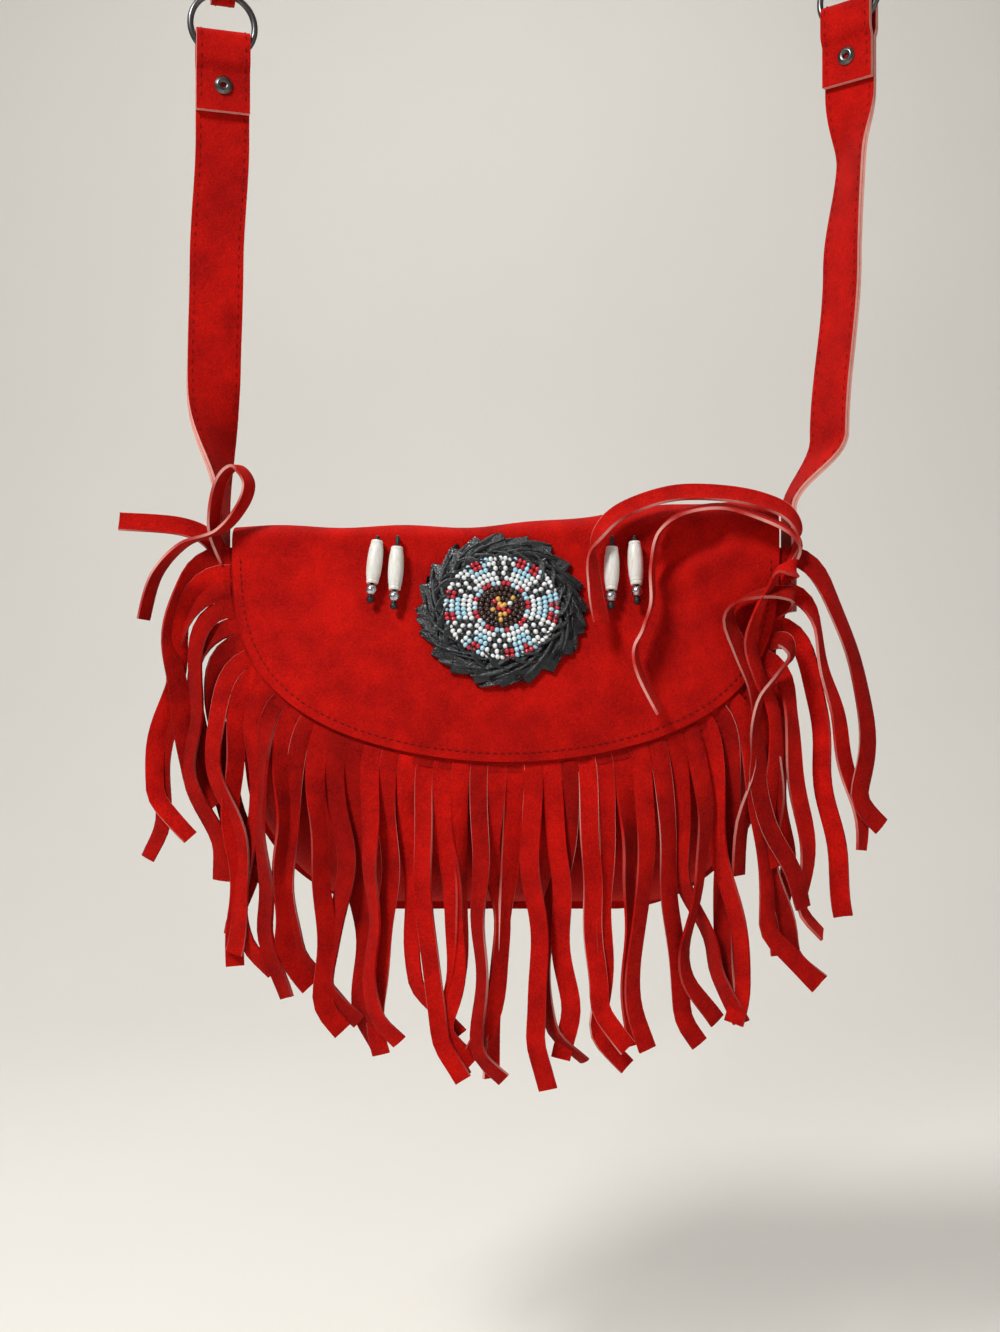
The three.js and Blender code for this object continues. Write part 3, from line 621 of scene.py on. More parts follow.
def noise(nodes, links, coords, scale, detail, roughness=0.5):
    node = nodes.new("ShaderNodeTexNoise")
    node.inputs["Detail"].default_value = detail
    node.inputs["Roughness"].default_value = roughness
    links.new(coords, node.inputs["Vector"])
    if isinstance(scale, (int, float)):
        node.inputs["Scale"].default_value = scale
    else:
        links.new(scale, node.inputs["Scale"])
    return node.outputs["Fac"]


def math_node(nodes, links, operation, a, b):
    node = nodes.new("ShaderNodeMath")
    node.operation = operation
    for socket, value in zip(node.inputs, (a, b)):
        if isinstance(value, (int, float)):
            socket.default_value = value
        else:
            links.new(value, socket)
    return node.outputs["Value"]


def map_range(nodes, links, value, low, high, to_low=0.0, to_high=1.0):
    node = nodes.new("ShaderNodeMapRange")
    links.new(value, node.inputs["Value"])
    node.inputs["From Min"].default_value = low
    node.inputs["From Max"].default_value = high
    node.inputs["To Min"].default_value = to_low
    node.inputs["To Max"].default_value = to_high
    return node.outputs["Result"]


def mix_colour(nodes, links, factor, a, b, blend="MIX"):
    node = nodes.new("ShaderNodeMix")
    node.data_type = "RGBA"
    node.blend_type = blend
    for socket, value in ((node.inputs[0], factor), (node.inputs[6], a), (node.inputs[7], b)):
        if isinstance(value, (int, float)):
            socket.default_value = value
        elif isinstance(value, tuple):
            socket.default_value = value
        else:
            links.new(value, socket)
    return node.outputs[2]


def nap_group():
    """Suede nap: brushed and pressed patches, with a fine fibre on them."""
    found = bpy.data.node_groups.get("suede_nap")
    if found:
        return found
    group, start, end = new_group(
        "suede_nap",
        [
            ("Brushed", "NodeSocketColor", (1, 1, 1, 1)),
            ("Pressed", "NodeSocketColor", (0, 0, 0, 1)),
            ("Patch Scale", "NodeSocketFloat", 60.0),
            ("Fibre Scale", "NodeSocketFloat", 1400.0),
        ],
        [("Colour", "NodeSocketColor"), ("Height", "NodeSocketFloat")],
    )
    nodes = group.nodes
    links = group.links
    coords = nodes.new("ShaderNodeTexCoord").outputs["Object"]
    patch = noise(nodes, links, coords, start.outputs["Patch Scale"], 5.0, 0.62)
    patch = map_range(nodes, links, patch, 0.34, 0.66)
    fibre = noise(nodes, links, coords, start.outputs["Fibre Scale"], 3.0, 0.7)
    fine = map_range(nodes, links, fibre, 0.3, 0.7)
    both = math_node(nodes, links, "MULTIPLY_ADD", fine, 0.52)
    both.node.inputs[2].default_value = 0.0
    links.new(math_node(nodes, links, "MULTIPLY", patch, 0.48), both.node.inputs[2])
    tint = mix_colour(nodes, links, both, start.outputs["Pressed"], start.outputs["Brushed"])
    links.new(tint, end.inputs["Colour"])
    height = math_node(nodes, links, "ADD", fibre, math_node(nodes, links, "MULTIPLY", patch, 0.35))
    links.new(height, end.inputs["Height"])
    return group


def grain_group():
    """Leather grain: small raised cells with creases between them."""
    found = bpy.data.node_groups.get("leather_grain")
    if found:
        return found
    group, start, end = new_group(
        "leather_grain",
        [("Cell Scale", "NodeSocketFloat", 700.0)],
        [("Height", "NodeSocketFloat"), ("Wear", "NodeSocketFloat")],
    )
    nodes = group.nodes
    links = group.links
    coords = nodes.new("ShaderNodeTexCoord").outputs["Object"]
    cells = nodes.new("ShaderNodeTexVoronoi")
    cells.feature = "DISTANCE_TO_EDGE"
    links.new(coords, cells.inputs["Vector"])
    links.new(start.outputs["Cell Scale"], cells.inputs["Scale"])
    height = map_range(nodes, links, cells.outputs["Distance"], 0.0, 0.18)
    links.new(height, end.inputs["Height"])
    wear = map_range(nodes, links, noise(nodes, links, coords, 160.0, 4.0, 0.65), 0.42, 0.68)
    links.new(wear, end.inputs["Wear"])
    return group


def new_material(name):
    material = bpy.data.materials.new(name)
    material.use_nodes = True
    nodes = material.node_tree.nodes
    shader = nodes["Principled BSDF"]
    return material, nodes, material.node_tree.links, shader


def opaque(rgb):
    return (rgb[0], rgb[1], rgb[2], 1.0)


def bump(nodes, links, shader, height, distance, strength=1.0):
    node = nodes.new("ShaderNodeBump")
    node.inputs["Strength"].default_value = strength
    node.inputs["Distance"].default_value = distance
    links.new(height, node.inputs["Height"])
    links.new(node.outputs["Normal"], shader.inputs["Normal"])


def use_group(nodes, group, **values):
    node = nodes.new("ShaderNodeGroup")
    node.node_tree = group
    for name, value in values.items():
        node.inputs[name.replace("_", " ")].default_value = value
    return node


def suede_material(colours, name="red_suede", patch=55.0, marked=False):
    """Red suede. On fringe strips the tone and the raw edge come from the strip's own marks."""
    found = bpy.data.materials.get(name)
    if found:
        return found
    material, nodes, links, shader = new_material(name)
    nap = use_group(
        nodes,
        nap_group(),
        Brushed=opaque(colours.suede_light),
        Pressed=opaque(colours.suede_deep),
        Patch_Scale=patch,
        Fibre_Scale=1100.0,
    )
    tint = nap.outputs["Colour"]
    if marked:
        tone = nodes.new("ShaderNodeAttribute")
        tone.attribute_name = "tone"
        shade = map_range(nodes, links, tone.outputs["Fac"], 0.0, 1.0, 0.55, 1.15)
        node = nodes.new("ShaderNodeVectorMath")
        node.operation = "SCALE"
        links.new(tint, node.inputs[0])
        links.new(shade, node.inputs["Scale"])
        cut = nodes.new("ShaderNodeAttribute")
        cut.attribute_name = "cut"
        raw = map_range(nodes, links, cut.outputs["Fac"], 0.1, 0.95, 0.0, 0.9)
        tint = mix_colour(nodes, links, raw, node.outputs["Vector"], opaque(colours.cut_edge))
    links.new(tint, shader.inputs["Base Color"])
    shader.inputs["Roughness"].default_value = 0.92
    shader.inputs["Specular IOR Level"].default_value = 0.1
    shader.inputs["Sheen Weight"].default_value = 0.05
    shader.inputs["Sheen Roughness"].default_value = 0.45
    shader.inputs["Sheen Tint"].default_value = (1.0, 0.32, 0.26, 1.0)
    bump(nodes, links, shader, nap.outputs["Height"], 0.0007, 0.8)
    return material


def cut_edge_material(colours):
    found = bpy.data.materials.get("cut_edge")
    if found:
        return found
    material, nodes, links, shader = new_material("cut_edge")
    nap = use_group(
        nodes,
        nap_group(),
        Brushed=opaque(colours.cut_edge),
        Pressed=opaque([c * f for c, f in zip(colours.cut_edge, (0.85, 0.55, 0.5))]),
        Patch_Scale=260.0,
        Fibre_Scale=2600.0,
    )
    links.new(nap.outputs["Colour"], shader.inputs["Base Color"])
    shader.inputs["Roughness"].default_value = 0.95
    shader.inputs["Specular IOR Level"].default_value = 0.15
    bump(nodes, links, shader, nap.outputs["Height"], 0.0003, 0.6)
    return material


def thread_material(colours):
    found = bpy.data.materials.get("thread")
    if found:
        return found
    material, nodes, links, shader = new_material("thread")
    coords = nodes.new("ShaderNodeTexCoord").outputs["Object"]
    twist = nodes.new("ShaderNodeTexWave")
    twist.bands_direction = "DIAGONAL"
    twist.inputs["Scale"].default_value = 700.0
    links.new(coords, twist.inputs["Vector"])
    dark = opaque([c * 0.45 for c in colours.thread])
    tint = mix_colour(nodes, links, twist.outputs["Fac"], dark, opaque(colours.thread))
    links.new(tint, shader.inputs["Base Color"])
    shader.inputs["Roughness"].default_value = 0.8
    shader.inputs["Specular IOR Level"].default_value = 0.15
    bump(nodes, links, shader, twist.outputs["Fac"], 0.0001, 0.6)
    return material


def leather_material(colours):
    found = bpy.data.materials.get("black_leather_lace")
    if found:
        return found
    material, nodes, links, shader = new_material("black_leather_lace")
    grain = use_group(nodes, grain_group(), Cell_Scale=900.0)
    worn = opaque([c * 2.2 + 0.004 for c in colours.black_leather])
    tint = mix_colour(nodes, links, grain.outputs["Wear"], opaque(colours.black_leather), worn)
    links.new(tint, shader.inputs["Base Color"])
    rough = map_range(nodes, links, grain.outputs["Wear"], 0.0, 1.0, 0.3, 0.5)
    links.new(rough, shader.inputs["Roughness"])
    bump(nodes, links, shader, grain.outputs["Height"], 0.0002, 0.5)
    return material


def bead_material():
    found = bpy.data.materials.get("glass_seed_beads")
    if found:
        return found
    material, nodes, links, shader = new_material("glass_seed_beads")
    tint = nodes.new("ShaderNodeAttribute")
    tint.attribute_name = "bead"
    coords = nodes.new("ShaderNodeTexCoord").outputs["Object"]
    cloud = map_range(nodes, links, noise(nodes, links, coords, 900.0, 2.0), 0.3, 0.7, 0.86, 1.06)
    node = nodes.new("ShaderNodeVectorMath")
    node.operation = "SCALE"
    links.new(tint.outputs["Color"], node.inputs[0])
    links.new(cloud, node.inputs["Scale"])
    links.new(node.outputs["Vector"], shader.inputs["Base Color"])
    rough = map_range(nodes, links, noise(nodes, links, coords, 500.0, 2.0), 0.3, 0.7, 0.12, 0.26)
    links.new(rough, shader.inputs["Roughness"])
    shader.inputs["Coat Weight"].default_value = 0.4
    shader.inputs["Coat Roughness"].default_value = 0.1
    return material


def bone_material(colours):
    found = bpy.data.materials.get("carved_bone")
    if found:
        return found
    material, nodes, links, shader = new_material("carved_bone")
    coords = nodes.new("ShaderNodeTexCoord").outputs["Object"]
    stretch = nodes.new("ShaderNodeMapping")
    stretch.inputs["Scale"].default_value = (1.0, 1.0, 0.12)
    links.new(coords, stretch.inputs["Vector"])
    fibre = noise(nodes, links, stretch.outputs["Vector"], 900.0, 4.0, 0.6)
    streak = map_range(nodes, links, fibre, 0.35, 0.7)
    dull = opaque([c * f for c, f in zip(colours.bone, (0.8, 0.74, 0.62))])
    links.new(mix_colour(nodes, links, streak, opaque(colours.bone), dull), shader.inputs["Base Color"])
    rough = map_range(nodes, links, streak, 0.0, 1.0, 0.28, 0.45)
    links.new(rough, shader.inputs["Roughness"])
    shader.inputs["Subsurface Weight"].default_value = 0.08
    shader.inputs["Subsurface Scale"].default_value = 0.001
    bump(nodes, links, shader, streak, 0.0001, 0.35)
    return material


def metal_material(name, tint, rough_low, rough_high):
    found = bpy.data.materials.get(name)
    if found:
        return found
    material, nodes, links, shader = new_material(name)
    coords = nodes.new("ShaderNodeTexCoord").outputs["Object"]
    cloud = map_range(nodes, links, noise(nodes, links, coords, 420.0, 4.0, 0.6), 0.32, 0.7)
    dark = opaque([c * 0.55 for c in tint])
    links.new(mix_colour(nodes, links, cloud, opaque(tint), dark), shader.inputs["Base Color"])
    links.new(map_range(nodes, links, cloud, 0.0, 1.0, rough_low, rough_high), shader.inputs["Roughness"])
    shader.inputs["Metallic"].default_value = 1.0
    fine = noise(nodes, links, coords, 1800.0, 2.0)
    bump(nodes, links, shader, fine, 0.00006, 0.3)
    return material


class BAG_OT_stage(bpy.types.Operator):
    """Make the floor with its backdrop, the lights and the camera"""

    bl_idname = "bag.make_stage"
    bl_label = "Stage"

    def execute(self, context):
        colours = context.scene.bag_colours
        self.make_camera(context)
        self.make_sweep(colours)
        self.make_lights(context)
        context.scene.view_settings.view_transform = "Standard"
        return {"FINISHED"}

    def make_camera(self, context):
        """A level camera. One of the photograph's 1332 rows is 0.45 mm on the flap, 0.65 m away."""
        away = 0.65
        tall = 1332 * 0.45 * MM
        data = bpy.data.cameras.new("camera")
        data.sensor_fit = "VERTICAL"
        data.sensor_height = 36.0
        data.lens = 36.0 * away / tall
        data.clip_start = 0.01
        camera = bpy.data.objects.new("camera", data)
        camera.location = (-0.0027, -0.028 - away, -0.4693)
        camera.rotation_euler = (math.radians(90), 0, 0)
        context.scene.collection.objects.link(camera)
        context.scene.camera = camera

    def make_sweep(self, colours):
        """One pale sheet: a floor that curves up into a backdrop."""
        bm = bmesh.new()
        floor_z = -0.86
        flat = 0.9
        bend = 0.9
        for v, column, row in add_grid(bm, 8, 40):
            s = row / 40
            if s < 0.4:
                y = mix(-6.0, flat, s / 0.4)
                z = floor_z
            elif s < 0.8:
                a = (s - 0.4) / 0.4 * math.pi / 2
                y = flat + bend * math.sin(a)
                z = floor_z + bend * (1 - math.cos(a))
            else:
                y = flat + bend
                z = mix(floor_z + bend, 3.0, (s - 0.8) / 0.2)
            v.co = Vector((mix(-6.0, 6.0, column / 8), y, z))
        mesh = bpy.data.meshes.new("floor")
        bm.to_mesh(mesh)
        bm.free()
        mesh.shade_smooth()
        material, nodes, links, shader = new_material("pale_floor")
        coords = nodes.new("ShaderNodeTexCoord").outputs["Object"]
        cloud = map_range(nodes, links, noise(nodes, links, coords, 3.0, 2.0), 0.3, 0.7)
        dim = opaque([c * 0.98 for c in colours.floor])
        links.new(mix_colour(nodes, links, cloud, opaque(colours.floor), dim), shader.inputs["Base Color"])
        shader.inputs["Roughness"].default_value = 0.9
        mesh.materials.append(material)
        floor = bpy.data.objects.new("floor", mesh)
        bpy.context.scene.collection.objects.link(floor)

    def make_lights(self, context):
        world = bpy.data.worlds.new("studio")
        world.use_nodes = True
        ground = world.node_tree.nodes["Background"]
        ground.inputs["Color"].default_value = (0.95, 0.97, 1.0, 1.0)
        ground.inputs["Strength"].default_value = 0.18
        context.scene.world = world
        for name, place, size, power in (
            ("key", (-0.85, -1.1, 0.85), 0.45, 34.0),
            ("fill", (1.2, -1.2, -0.2), 1.2, 3.0),
            ("top", (0.0, 0.45, 1.5), 1.6, 24.0),
        ):
            data = bpy.data.lights.new(name, "AREA")
            data.shape = "DISK"
            data.size = size
            data.energy = power
            lamp = bpy.data.objects.new(name, data)
            lamp.location = place
            aim = Vector((0, 0, -0.45)) - Vector(place)
            lamp.rotation_euler = aim.to_track_quat("-Z", "Y").to_euler()
            context.scene.collection.objects.link(lamp)


class BAG_OT_pouch(bpy.types.Operator):
    """Make the pouch's front and back panels and their seam"""

    bl_idname = "bag.make_pouch"
    bl_label = "Pouch"

    def execute(self, context):
        shape = shape_of(context)
        colours = context.scene.bag_colours
        finish = [suede_material(colours), cut_edge_material(colours)]
        for name, place in (("front_panel", shape.front_place), ("back_panel", shape.back_place)):
            bm = bmesh.new()
            for v, column, row in add_grid(bm, 72, 56):
                u = (1 - math.cos(column / 72 * math.pi)) / 2
                v.co = shape.world(place(u, row / 56))
            give_thickness(bm, shape.suede * MM)
            piece = finish_piece("suede_" + name, bm, finish, "bag")
            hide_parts(name)
        bm = bmesh.new()
        add_stitches(bm, shape, self.seam(shape) + self.top_seam(shape), (2.6, 0.7, 0.6))
        finish_piece("pouch_seam", bm, [thread_material(colours)], "bag")
        return {"FINISHED"}

    def top_seam(self, shape):
        """Stitches through the back panel, below its top edge, that hold the flap."""
        depth = shape.mouth_drop - shape.sew_clear + 4
        half = shape.pouch_half_width(depth) - 6
        count = int(2 * half / 3.6)
        out = Vector((0, 1, 0))
        return [
            (Vector((mix(-half, half, k / count), shape.back_face_y + 0.1, -depth)), Vector((1, 0, 0)), out)
            for k in range(count + 1)
        ]

    def seam(self, shape):
        """Stitches through both panels, beside the sides and along the bottom."""
        line = []
        for k in range(241):
            t = k / 240 * math.pi
            depth = 30 + (shape.pouch_height - 32.2 - 0.2) * math.sin(t) ** 0.9
            x = -math.cos(t)
            line.append(Vector((x * (shape.pouch_half_width(depth) - 2.4), 0, -depth)))
        places = []
        run = 0.0
        for a, b in zip(line, line[1:]):
            run += (b - a).length
            if run < 3.6:
                continue
            run = 0.0
            for y, out in ((shape.back_face_y + 0.1, 1), (shape.seam_y - shape.suede / 2 - 0.1, -1)):
                places.append((Vector((a.x, y, a.z)), b - a, Vector((0, out, 0))))
        return places


class BAG_OT_flap(bpy.types.Operator):
    """Make the flap with the stitching along its edge"""

    bl_idname = "bag.make_flap"
    bl_label = "Flap"

    def execute(self, context):
        shape = shape_of(context)
        colours = context.scene.bag_colours
        bm = bmesh.new()
        for v, column, row in add_grid(bm, 110, 90):
            v.co = shape.world(shape.flap_place(column / 110, row / 90))
        give_thickness(bm, shape.suede * MM)
        finish = [suede_material(colours), cut_edge_material(colours)]
        flap = finish_piece("suede_flap", bm, finish, "bag")
        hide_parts("flap")
        bm = bmesh.new()
        add_stitches(bm, shape, self.edge_stitches(shape), (2.5, 0.75, 0.6))
        finish_piece("flap_stitching", bm, [thread_material(colours)], "bag")
        return {"FINISHED"}

    def edge_stitches(self, shape):
        places = []
        count = int(shape.run[-1] / 3.4)
        for k in range(2, count - 1):
            share = k / count
            x, depth, nx, nz = shape.edge_frame(share)
            x -= nx * 3.8
            depth += nz * 3.8
            y = shape.flap_y(x, depth) + shape.flap_relief(x, depth) - shape.suede / 2 - 0.1
            _, _, out = shape.face_at(x, -depth)
            places.append((Vector((x, y, -depth)), Vector((-nz, 0, nx)), out))
        return places


class BAG_OT_fringe(bpy.types.Operator):
    """Make the fringe: its band, its strips and the stray strips at the corners"""

    bl_idname = "bag.make_fringe"
    bl_label = "Fringe"

    stray = (
        (
            (0.45, 0.9, 0.1),
            (
                (-128.6, -15, -21), (-133, -20, -6), (-130, -22, 13), (-123, -22, 21), (-117, -22, 14),
                (-120, -23, 3), (-130, -22, -8), (-147, -20, -14), (-160, -18, -28), (-166, -17, -48),
            ),
        ),
        ((0, 0.2, 1), ((-127, -14.2, -24), (-136, -15, -11), (-150, -16, -5), (-177, -17, -3))),
        (
            (0.2, 0.5, 0.85),
            (
                (129.4, -15, -21), (134, -19.5, -10), (128, -24, 0), (115, -24.5, 6), (98, -25, 9),
                (77, -26, 9), (59, -27, 4), (46, -29, -4), (39, -32, -17), (39.5, -36, -35), (42, -40, -50),
            ),
        ),
        (
            (0.25, 0.9, 0.3),
            (
                (129.4, -14.5, -27), (134.5, -19, -16), (128, -25, -8), (113, -25, -1), (97, -25, 3),
                (80, -26, 0), (69, -28, -9), (65.5, -31, -24), (65, -35, -40), (61, -38, -52),
                (57, -41, -62), (59, -43, -73), (67.5, -44, -90),
            ),
        ),
    )
    shares = (0.0, 0.035, 0.25, 0.5, 0.75, 0.965, 1.0)

    def execute(self, context):
        shape = shape_of(context)
        colours = context.scene.bag_colours
        bm = bmesh.new()
        cut = bm.verts.layers.float.new("cut")
        tone = bm.verts.layers.float.new("tone")
        for v, column, row in add_grid(bm, 4, 150):
            v.co = shape.world(shape.band_place(column / 4, row / 150))
            v[tone] = 0.3
        for i in range(shape.fringe_strips):
            points, sides = shape.strip_path(i, 30)
            widths = [shape.strip_width * mix(0.92, 1.08, chance(i, 9))] * len(points)
            pale = mix(0.5, 1.0, chance(i, 20)) if chance(i, 22) > 0.5 else 0.2
            marks = (cut, tone, mix(0.1, 1.0, chance(i, 8)), pale)
            cup = (chance(i, 10) - 0.5) * 1.6
            add_ribbon(bm, shape, points, sides, widths, self.shares, cup=cup, marks=marks)
        for n, (side, line) in enumerate(self.stray):
            points = smooth_line([Vector(p) for p in line], 8)
            sides = [Vector(side)] * len(points)
            widths = [shape.strip_width] * len(points)
            marks = (cut, tone, 0.6 + 0.1 * n, 0.8)
            add_ribbon(bm, shape, points, sides, widths, self.shares, cup=0.5, marks=marks)
        give_thickness(bm, shape.strip_suede * MM, rim=0)
        finish = [suede_material(colours, "fringe_suede", 75.0, True)]
        fringe = finish_piece("suede_fringe", bm, finish, "bag")
        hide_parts("fringe")
        return {"FINISHED"}


class BAG_OT_rosette(bpy.types.Operator):
    """Make the rosette's leather lacing"""

    bl_idname = "bag.make_rosette"
    bl_label = "Rosette"

    def execute(self, context):
        shape = shape_of(context)
        colours = context.scene.bag_colours
        leather = leather_material(colours)
        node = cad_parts["rosette_base"]
        node.data.materials.clear()
        node.data.materials.append(leather)
        bm = bmesh.new()
        for k in range(20):
            self.add_lace(bm, shape, k, 25.5, shape.rosette_radius, 0.62, 8.6, 2.9)
            self.add_lace(bm, shape, k + 0.55, 24.5, shape.rosette_radius * 0.92, 0.78, 5.6, 4.1)
            self.add_lace(bm, shape, k + 0.2, 24.0, shape.rosette_radius * 0.82, -0.46, 4.2, 5.0)
        give_thickness(bm, 0.9 * MM, rim=0)
        finish_piece("rosette_lacing", bm, [leather], "bag", sharp=70)
        return {"FINISHED"}

    def add_lace(self, bm, shape, k, inner, outer, sweep, width, height):
        """One lace that runs out from the disc with a slant, tilted to lie over the next."""
        start = k / 20 * math.tau
        pick = chance(int(k * 20), 21)
        outer = outer * mix(0.94, 1.02, pick)
        sweep = sweep * mix(0.8, 1.25, chance(int(k * 20), 22))
        width = width * mix(0.75, 1.15, chance(int(k * 20), 23))
        for v, column, row in add_grid(bm, 6, 16):
            s = row / 16
            w = column / 6 - 0.5
            r = mix(inner, outer, s)
            taper = 1.0 if s < 0.66 else mix(1.0, 0.12, ((s - 0.66) / 0.34) ** 1.5)
            angle = start - sweep * s ** 1.15 + w * width * taper / r + 0.03 * math.sin(9 * s + 7 * pick)
            tilt = 1.5 * w * math.copysign(1, sweep)
            crown = 0.55 * (1 - 4 * w * w) - 0.25 * math.exp(-((w / 0.12) ** 2))
            lift = 0.8 * math.sin(s * math.pi) + tilt + crown
            v.co = shape.world(shape.on_rosette(r, angle, mix(height, height - 2.0, s ** 1.4) + lift))


class BAG_OT_beads(bpy.types.Operator):
    """Make the beaded disc, bead by bead"""

    bl_idname = "bag.make_beads"
    bl_label = "Beadwork"

    motifs = (0, 60, 125, 183, 235, 300)
    accents = (22, 38, 88, 104, 150, 172, 212, 258, 284, 332)

    def execute(self, context):
        shape = shape_of(context)
        colours = context.scene.bag_colours
        base = shape.rosette_thickness + 3 * shape.gap
        bm = bmesh.new()
        for v, column, row in add_grid(bm, 48, 8):
            v.co = shape.world(
                shape.on_rosette(shape.disc_radius * 0.985 * row / 8, column / 48 * math.tau, base + 0.5)
            )
        bmesh.ops.remove_doubles(bm, verts=bm.verts[:], dist=1e-6)
        give_thickness(bm, 0.9 * MM, rim=0)
        finish_piece("bead_backing", bm, [leather_material(colours)], "bag")
        bm = bmesh.new()
        bead = small_shape(8, 6)
        bead.attributes.new("bead", "FLOAT_COLOR", "POINT")
        pitch = shape.disc_radius / shape.bead_rings
        for ring in range(1, shape.bead_rings + 1):
            radius = pitch * (ring - 0.42)
            count = max(round(math.tau * radius / (pitch * 0.86)), 4)
            for n in range(count):
                angle = (n + 0.37 * ring) / count * math.tau
                shade = self.bead_colour(colours, ring, angle, n)
                self.add_bead(bm, shape, bead, radius, angle, pitch, base, shade)
        self.add_bead(bm, shape, bead, 0.01, 0.0, pitch, base, colours.bead_gold)
        bpy.data.meshes.remove(bead)
        beads = finish_piece("seed_beads", bm, [bead_material()], "bag")
        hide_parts("beaded_disc")
        return {"FINISHED"}

    def add_bead(self, bm, shape, bead, radius, angle, pitch, base, shade):
        p = shape.on_rosette(radius, angle, base + 1.35)
        run = (shape.on_rosette(radius, angle + 0.05, base + 1.35) - p).normalized()
        out = (shape.on_rosette(radius, angle, base + 2.35) - p).normalized()
        turn = Matrix((out.cross(run), out, run)).transposed().to_4x4()
        size = (pitch * 0.5 * MM, pitch * 0.48 * MM, pitch * 0.42 * MM, 1.0)
        tint = bead.attributes["bead"].data
        tint.foreach_set("color", opaque(shade) * len(tint))
        add_copy(bm, bead, Matrix.Translation(shape.world(p)) @ turn @ Matrix.Diagonal(size))

    def bead_colour(self, colours, ring, angle, n):
        """A ringed pattern: dark heart, red and blue round it, stepped black figures on white."""
        clock = (90 - math.degrees(angle)) % 360
        pick = chance(ring * 37 + n, 3)
        gold = colours.bead_gold
        red = colours.bead_red
        blue = colours.bead_blue
        white = colours.bead_white
        if ring <= 2:
            kinds = (gold, red, colours.bead_bronze, gold, white)
            return kinds[int(pick * 4.99)]
        if ring <= 4:
            if pick < 0.8:
                return colours.bead_bronze
            return gold if ring == 3 else colours.bead_black
        near = min(self.motifs, key=lambda m: abs((clock - m + 180) % 360 - 180))
        off = ((clock - near + 180) % 360 - 180) / 360 * math.tau * (ring - 0.42) / 0.86
        if ring == 5:
            part = (clock % 40) / 40
            return red if part < 0.42 else blue if part < 0.8 else white
        far = abs(off)
        figure = {6: far < 0.6, 7: 0.5 < far < 1.5, 8: far < 0.5 or 1.5 < far < 2.3, 9: 0.5 < far < 1.5}
        if figure.get(ring):
            return colours.bead_black
        accent = min(abs((clock - a + 180) % 360 - 180) for a in self.accents)
        if ring >= 9 and accent < 4.5:
            return red
        if ring >= 8 and accent < 12 and far > 2.6:
            return blue
        if ring == 7 and accent < 8 and far > 2.6:
            return blue if pick < 0.6 else white
        return white


class BAG_OT_pendants(bpy.types.Operator):
    """Make the four pendants of bone, silver and thong"""

    bl_idname = "bag.make_pendants"
    bl_label = "Pendants"

    hangs = ((-58, -12, -0.1, 0), (-49, -12, -0.04, 6), (48, -12, -0.03, 6), (58, -12, 0.03, 1))

    def execute(self, context):
        shape = shape_of(context)
        colours = context.scene.bag_colours
        bone = bone_material(colours)
        silver = metal_material("old_silver", colours.silver, 0.22, 0.4)
        leather = leather_material(colours)
        for n, (x, z, lean, extra) in enumerate(self.hangs, start=1):
            body = "pendant_" + str(n)
            _, down, out = shape.face_at(x, z - 14)
            top, _, _ = shape.face_at(x, z)
            off = shape.bone_radius + 1.2
            hook = top + out * off
            drop = Matrix.Rotation(lean, 3, out) @ down
            turn = (-drop).to_track_quat("Z", "Y").to_matrix().to_4x4()
            place = Matrix.Translation(shape.world(hook)) @ turn
            thong = 0.9
            bore = thong + 0.3
            high = -1.6 - extra * 0.5
            low = high - shape.bone_length
            bead = self.bone(shape, high, low, bore)
            piece = self.turned("bone_" + str(n), bead, place, bone, body, "bone")
            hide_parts("bone_bead_" + str(n))
            r = shape.end_bead_radius
            c = low - shape.gap - r
            cap = math.sqrt(r * r - bore * bore)
            ball = [(bore, c - cap)]
            for k in range(1, 14):
                a = mix(-math.acos(bore / r), math.acos(bore / r), k / 14)
                ball.append((r * math.cos(a), c + r * math.sin(a)))
            ball += [(bore, c + cap), (bore, c - cap)]
            piece = self.turned("silver_" + str(n), ball, place, silver, body, "silver")
            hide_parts("end_bead_" + str(n))
            knot = c - cap - shape.gap
            cord = [(0, knot - 3.4), (0.9, knot - 3.2), (1.6, knot - 2.5), (1.75, knot - 1.6)]
            cord += [(1.5, knot - 0.7), (thong, knot), (thong, 0.4), (0.5, 0.85), (0, 0.9)]
            bm = bmesh.new()
            spin_profile(bm, cord, 16, place)
            inward = (-out).to_track_quat("Z", "Y").to_matrix().to_4x4()
            stub = [(0, 0), (thong, 0), (thong, off - shape.gap), (0, off - shape.gap)]
            spin_profile(bm, stub, 16, Matrix.Translation(shape.world(hook)) @ inward)
            piece = finish_piece("knotted_thong_" + str(n), bm, [leather], body)
            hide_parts("thong_" + str(n))
        return {"FINISHED"}

    def bone(self, shape, high, low, bore):
        """A bone bead, fuller in its middle, with two turned grooves near each end."""
        profile = [(bore, low)]
        for k in range(41):
            t = k / 40
            r = shape.bone_radius * mix(0.72, 1.0, math.sin(t * math.pi) ** 0.7)
            for groove in (0.08, 0.14, 0.86, 0.92):
                r -= 0.28 * math.exp(-((t - groove) / 0.014) ** 2)
            profile.append((r, mix(low, high, t)))
        return profile + [(bore, high), (bore, low)]

    def turned(self, name, profile, place, material, body, slot):
        bm = bmesh.new()
        spin_profile(bm, profile, 32, place)
        return finish_piece(name, bm, [material], body, sharp=40)


